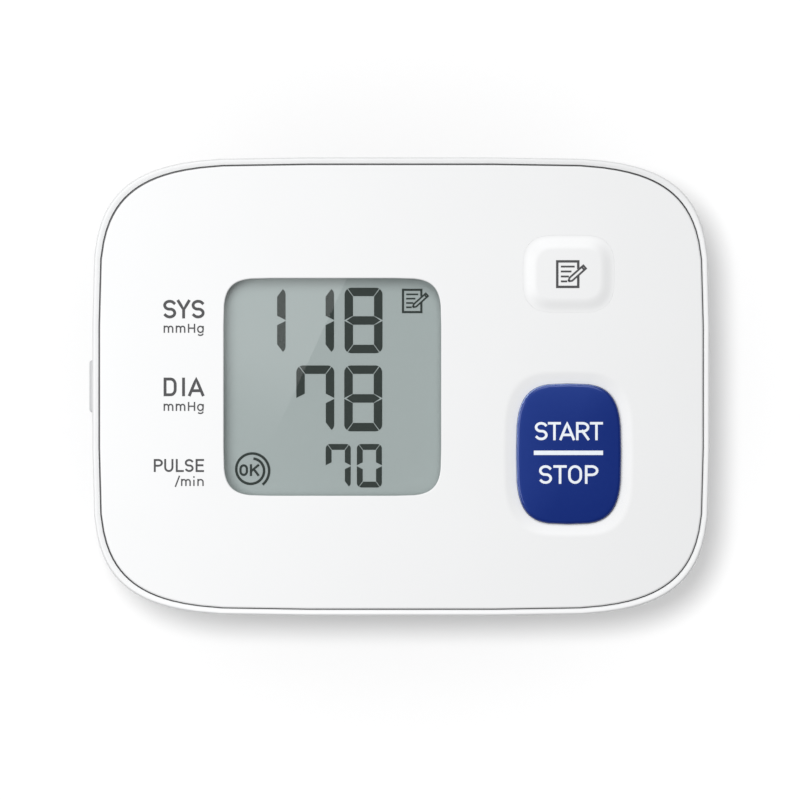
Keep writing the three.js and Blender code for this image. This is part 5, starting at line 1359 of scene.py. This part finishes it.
# edge tape round the cuff, stitches and the hooks of the hook patch
trimLook = {
    "probe": 0.05, "shade": 60, "tapeRadius": 1.05, "tapeFlat": 0.8, "tapeBase": 19.4, "tapeOut": 27.45,
    "tapeIn": 0.3, "tapeStep": 1.5, "tapeSides": 12, "turnSteps": 8, "acrossSteps": 20, "threadHalf": 0.13,
    "stitchLong": 1.9, "stitchShares": (0, 0.15, 0.5, 0.85, 1), "stitchRise": 1.6, "stitchSink": 0.8,
    "stitchSides": 6, "hookTall": 0.36, "hookStep": 1.35, "hookThick": 0.09, "hookRoot": 0.05,
    "hookPath": [(0, 0.6), (0.12, 0.85), (0.45, 1), (0.7, 0.8)], "hookMargins": (3, 6), "hookEdge": 1.2,
    "hookSunk": 0.02,
}


def loopAxes(length, radius, y):
    probe = trimLook["probe"]
    point = Vector(onLoop(length, radius, y))
    ahead = Vector(onLoop(length + probe, radius, y)) - Vector(onLoop(length - probe, radius, y))
    out = Vector(onLoop(length, radius + 1, y)) - point
    return point, ahead.normalized(), out.normalized()


def tapeRoute(start, end, corner, tipAtStart):
    # from the fold along one edge, round the tip and back along the other edge
    half, turnSteps, acrossSteps = trimLook["tapeOut"], trimLook["turnSteps"], trimLook["acrossSteps"]
    tip, fold = (start, end) if tipAtStart else (end, start)
    way = 1 if tip > fold else -1
    bendAt = tip - way * corner
    count = math.ceil(abs(bendAt - fold) / trimLook["tapeStep"])
    straight = [(fold + (bendAt - fold) * step / count, -half) for step in range(count)]
    turns = [math.radians(90 - 90 * step / turnSteps) for step in range(turnSteps + 1)]
    turn = [(bendAt + way * corner * math.cos(a), corner - half - corner * math.sin(a)) for a in turns]
    across = [(tip, (corner - half) * (1 - 2 * step / acrossSteps)) for step in range(1, acrossSteps)]
    back = [(length, -y) for length, y in reversed(straight + turn)]
    return straight + turn + across + back


def makeEdgeTape(name, look, tipAtStart):
    start, end = bandEnds(look)
    corner = look["corners"][0 if tipAtStart else 1]
    base, high = trimLook["tapeBase"], trimLook["tapeRadius"]
    wide = high * trimLook["tapeFlat"]
    route = tapeRoute(start + trimLook["tapeIn"], end - trimLook["tapeIn"], corner, tipAtStart)
    points = [Vector(onLoop(length, base, y)) for length, y in route]
    rings = []
    for index, (length, y) in enumerate(route):
        point, ahead, out = loopAxes(length, base, y)
        way = (points[min(index + 1, len(points) - 1)] - points[max(index - 1, 0)]).normalized()
        side = way.cross(out).normalized()
        rings.append([tuple(point + out * math.sin(a) * high + side * math.cos(a) * wide)
                      for a in fullTurn(trimLook["tapeSides"])])
    tape = skinRings(name, rings)
    smoothShade(tape, trimLook["shade"])
    return tape


def makeStitch():
    # one arched stitch that dips into the cloth at both ends
    half, long = trimLook["threadHalf"], trimLook["stitchLong"]
    rings = []
    for share in trimLook["stitchShares"]:
        rise = half * trimLook["stitchRise"] * math.sin(share * math.pi) - half * trimLook["stitchSink"]
        rings.append([((share - 0.5) * long, half * math.cos(a), rise + half * math.sin(a))
                      for a in fullTurn(trimLook["stitchSides"])])
    return skinRings("stitch", rings)


def layCopies(name, model, places):
    copies = []
    for point, ahead, out in places:
        copy = copyOf(model)
        turn = Matrix((ahead, out.cross(ahead).normalized(), out)).transposed().to_4x4()
        copy.data.transform(Matrix.Translation(point * mm) @ turn)
        copies.append(copy)
    bpy.data.objects.remove(model)
    row = joinPieces(name, copies)
    smoothShade(row, trimLook["shade"])
    return row


def seamPlaces(look):
    start, end = bandEnds(look)
    first, last = start + look["seamTrim"], end - look["seamTrim"]
    count = int((last - first) / look["stitchStep"])
    radius = look["base"] + look["tall"] - look["seamDeep"]
    seam = look["half"] - look["seamIn"]
    lengths = [first + step * look["stitchStep"] for step in range(count + 1)]
    return [loopAxes(length, radius, side * seam) for length in lengths for side in (-1, 1)]


def makeHook():
    # a small hook that leans over at its tip
    thick, tall = trimLook["hookThick"], trimLook["hookTall"]
    path = [(0, -trimLook["hookRoot"])] + [(x * tall, z * tall) for x, z in trimLook["hookPath"]]
    square = ((-thick, -thick), (thick, -thick), (thick, thick), (-thick, thick))
    return skinRings("hook", [[(x + px, y, z) for px, y in square] for x, z in path])


def hookPlaces(look):
    start, end = bandEnds(look)
    first, last = start + trimLook["hookMargins"][0], end - trimLook["hookMargins"][1]
    step = trimLook["hookStep"]
    places = []
    for row in range(int((last - first) / step)):
        length = first + row * step
        reach = look["half"] - trimLook["hookEdge"] - tuckIn(end - length, look["corners"][1])
        count = int(2 * reach / step)
        for column in range(count + 1):
            y = -reach + 2 * reach * (column + (row % 2) / 2) / (count + 0.5)  # every other row is set over
            point, ahead, out = loopAxes(length, look["base"] + trimLook["hookSunk"], y)
            places.append((point, ahead, -out))
    return places


for body, name, tipAtStart in (("case", "cuff", True), ("flap", "flap", False)):
    tape = makeEdgeTape(name + "_edge_tape", bands[name + "_sleeve"], tipAtStart)
    dress(tape, body, edgeTape, "dark_fabric")
for name, band in (("cuff_stitches", "cuff_sleeve"), ("flap_stitches", "flap_sleeve"),
                   ("strap_stitches", "closing_strap")):
    stitches = layCopies(name, makeStitch(), seamPlaces(bands[band]))
    dress(stitches, bands[band]["body"], seamThread, "grey_fabric")
dress(layCopies("hook_rows", makeHook(), hookPlaces(bands["hook_patch"])), "flap", hookTape, "dark_fabric")
print("edge tapes, stitches and hooks done")


# saddle: the solid's own form, merged, with round corners and broken edges
saddleLook = {"soft": (0.3, 40, 3), "corner": 8.0, "power": 2.2, "steps": 10, "flat": 0.5, "shade": 35}


def makeSaddle(look):
    saddle = copyOf(cadNodes["cuff_saddle"])
    saddle.name = saddle.data.name = "case_saddle"
    saddle.parent = None
    makeActive(saddle)
    bpy.ops.object.mode_set(mode="EDIT")
    bpy.ops.mesh.select_all(action="SELECT")
    bpy.ops.mesh.remove_doubles(threshold=bench["tiny"])
    bpy.ops.mesh.dissolve_limited(angle_limit=math.radians(look["flat"]))
    bpy.ops.object.mode_set(mode="OBJECT")
    low, high = nodeBox("cuff_saddle")
    corner, past = look["corner"], bench["past"]
    outline = cushion(high[0] - low[0], high[1] - low[1], corner, corner, look["power"])
    levels = [(0, low[2] - past), (0, high[2] + past)]
    carve(saddle, loft("keep", outline, levels, look["steps"]), "INTERSECT")
    softenEdges(saddle, *look["soft"])
    smoothShade(saddle, look["shade"])
    dress(saddle, "case", greyPlastic, "grey_plastic", "cuff_saddle")


makeSaddle(saddleLook)


# cells: turned once, then copied and turned round; rings give the way in from the side and from the end
cellLook = {
    "radius": 5.25, "long": 44.5, "nub": 1.9, "nubLong": 0.9, "sides": 48, "layStep": 0.2, "shade": 40,
    "footRings": [(1.6, 0.15), (1.0, 0.15), (0.8, 0), (0.35, 0), (0.1, 0.1), (0, 0.35)],
    "headRings": [(0, 0.6), (0.1, 0.2), (0.35, 0.05), (0.9, 0.1), (1.2, 0.3)],
    "nubRings": [(-0.3, 0.3), (0, 0.1)], "tipRings": [(0, 0.25), (0.25, 0)],
}


def makeCell(look):
    # from the flat end to the nub, along +Y from the middle
    foot, top = -look["long"] / 2, look["long"] / 2
    shoulder = top - look["nubLong"]
    levels = [(look["radius"] - inset, foot + rise) for inset, rise in look["footRings"]]
    levels += [(look["radius"] - inset, shoulder - drop) for inset, drop in look["headRings"]]
    levels += [(look["nub"] - inset, shoulder - drop) for inset, drop in look["nubRings"]]
    levels += [(look["nub"] - inset, top - drop) for inset, drop in look["tipRings"]]
    rings, lay = [], []
    for radius, y in levels:
        rings.append([(px, y, pz) for px, pz, flat in circleRing(0, 0, 0, radius, look["sides"])])
        lay.append([(y - foot, step * look["layStep"]) for step in range(look["sides"])])
    return skinRings("cell", rings, lay)


def placeCells(look):
    model = makeCell(look)
    for number, turn in ((1, 0), (2, math.pi)):
        solid = f"battery_{number}"
        cell = copyOf(model)
        cell.name = cell.data.name = f"cell_{number}"
        place = Matrix.Translation(Vector(nodeMiddle(solid)) * mm)
        cell.data.transform(place @ Matrix.Rotation(turn, 4, "Z"))
        smoothShade(cell, look["shade"])
        dress(cell, "case", cellJacket, "cell_sleeve", solid)
    bpy.data.objects.remove(model)


placeCells(cellLook)


# valve spring: wire wound on a coil
springLook = {"wire": 0.4, "turns": 3, "perTurn": 24, "sides": 8, "shade": 60}


def makeValveSpring(look):
    low, high = nodeBox("valve_spring")
    x, y, z = nodeMiddle("valve_spring")
    half = look["wire"] / 2
    radius = (high[0] - low[0]) / 2 - half
    foot, top = low[1] + half, high[1] - half
    count = look["turns"] * look["perTurn"]
    rings = []
    for step in range(count + 1):
        turn = step / look["perTurn"] * 2 * math.pi
        wire = circleRing(radius, foot + (top - foot) * step / count, 0, half, look["sides"])
        rings.append([(x + out * math.cos(turn), along, z + out * math.sin(turn))
                      for out, along, flat in wire])
    spring = skinRings("valve_coil", rings)
    smoothShade(spring, look["shade"])
    dress(spring, "case", steelBright, "steel", "valve_spring")
    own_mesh(spring)


makeValveSpring(springLook)
print("saddle, cells and valve spring done")


# finishes of the solids that stay
slotFinishes = {
    "white_plastic": whitePlastic, "blue_plastic": keyBlue, "clear_lens": lensClear,
    "display_glass": displayGlass, "black_plastic": blackPlastic, "grey_plastic": greyPlastic,
    "dark_rubber": rubberDark, "clear_silicone": siliconeClear, "board": boardGreen, "steel": steelBright,
    "brass": brassBright, "red_lead": leadRed, "black_lead": leadBlack, "cell_sleeve": cellJacket,
    "grey_fabric": sleeveCloth, "dark_fabric": liningCloth, "bladder_film": bladderFilm,
}
for subpart in frame["record"]["subparts"]:
    solid = cadNodes[subpart["node"]]
    solid.data.materials.clear()
    solid.data.materials.append(slotFinishes[subpart["material_slot"]])
print("solids finished")
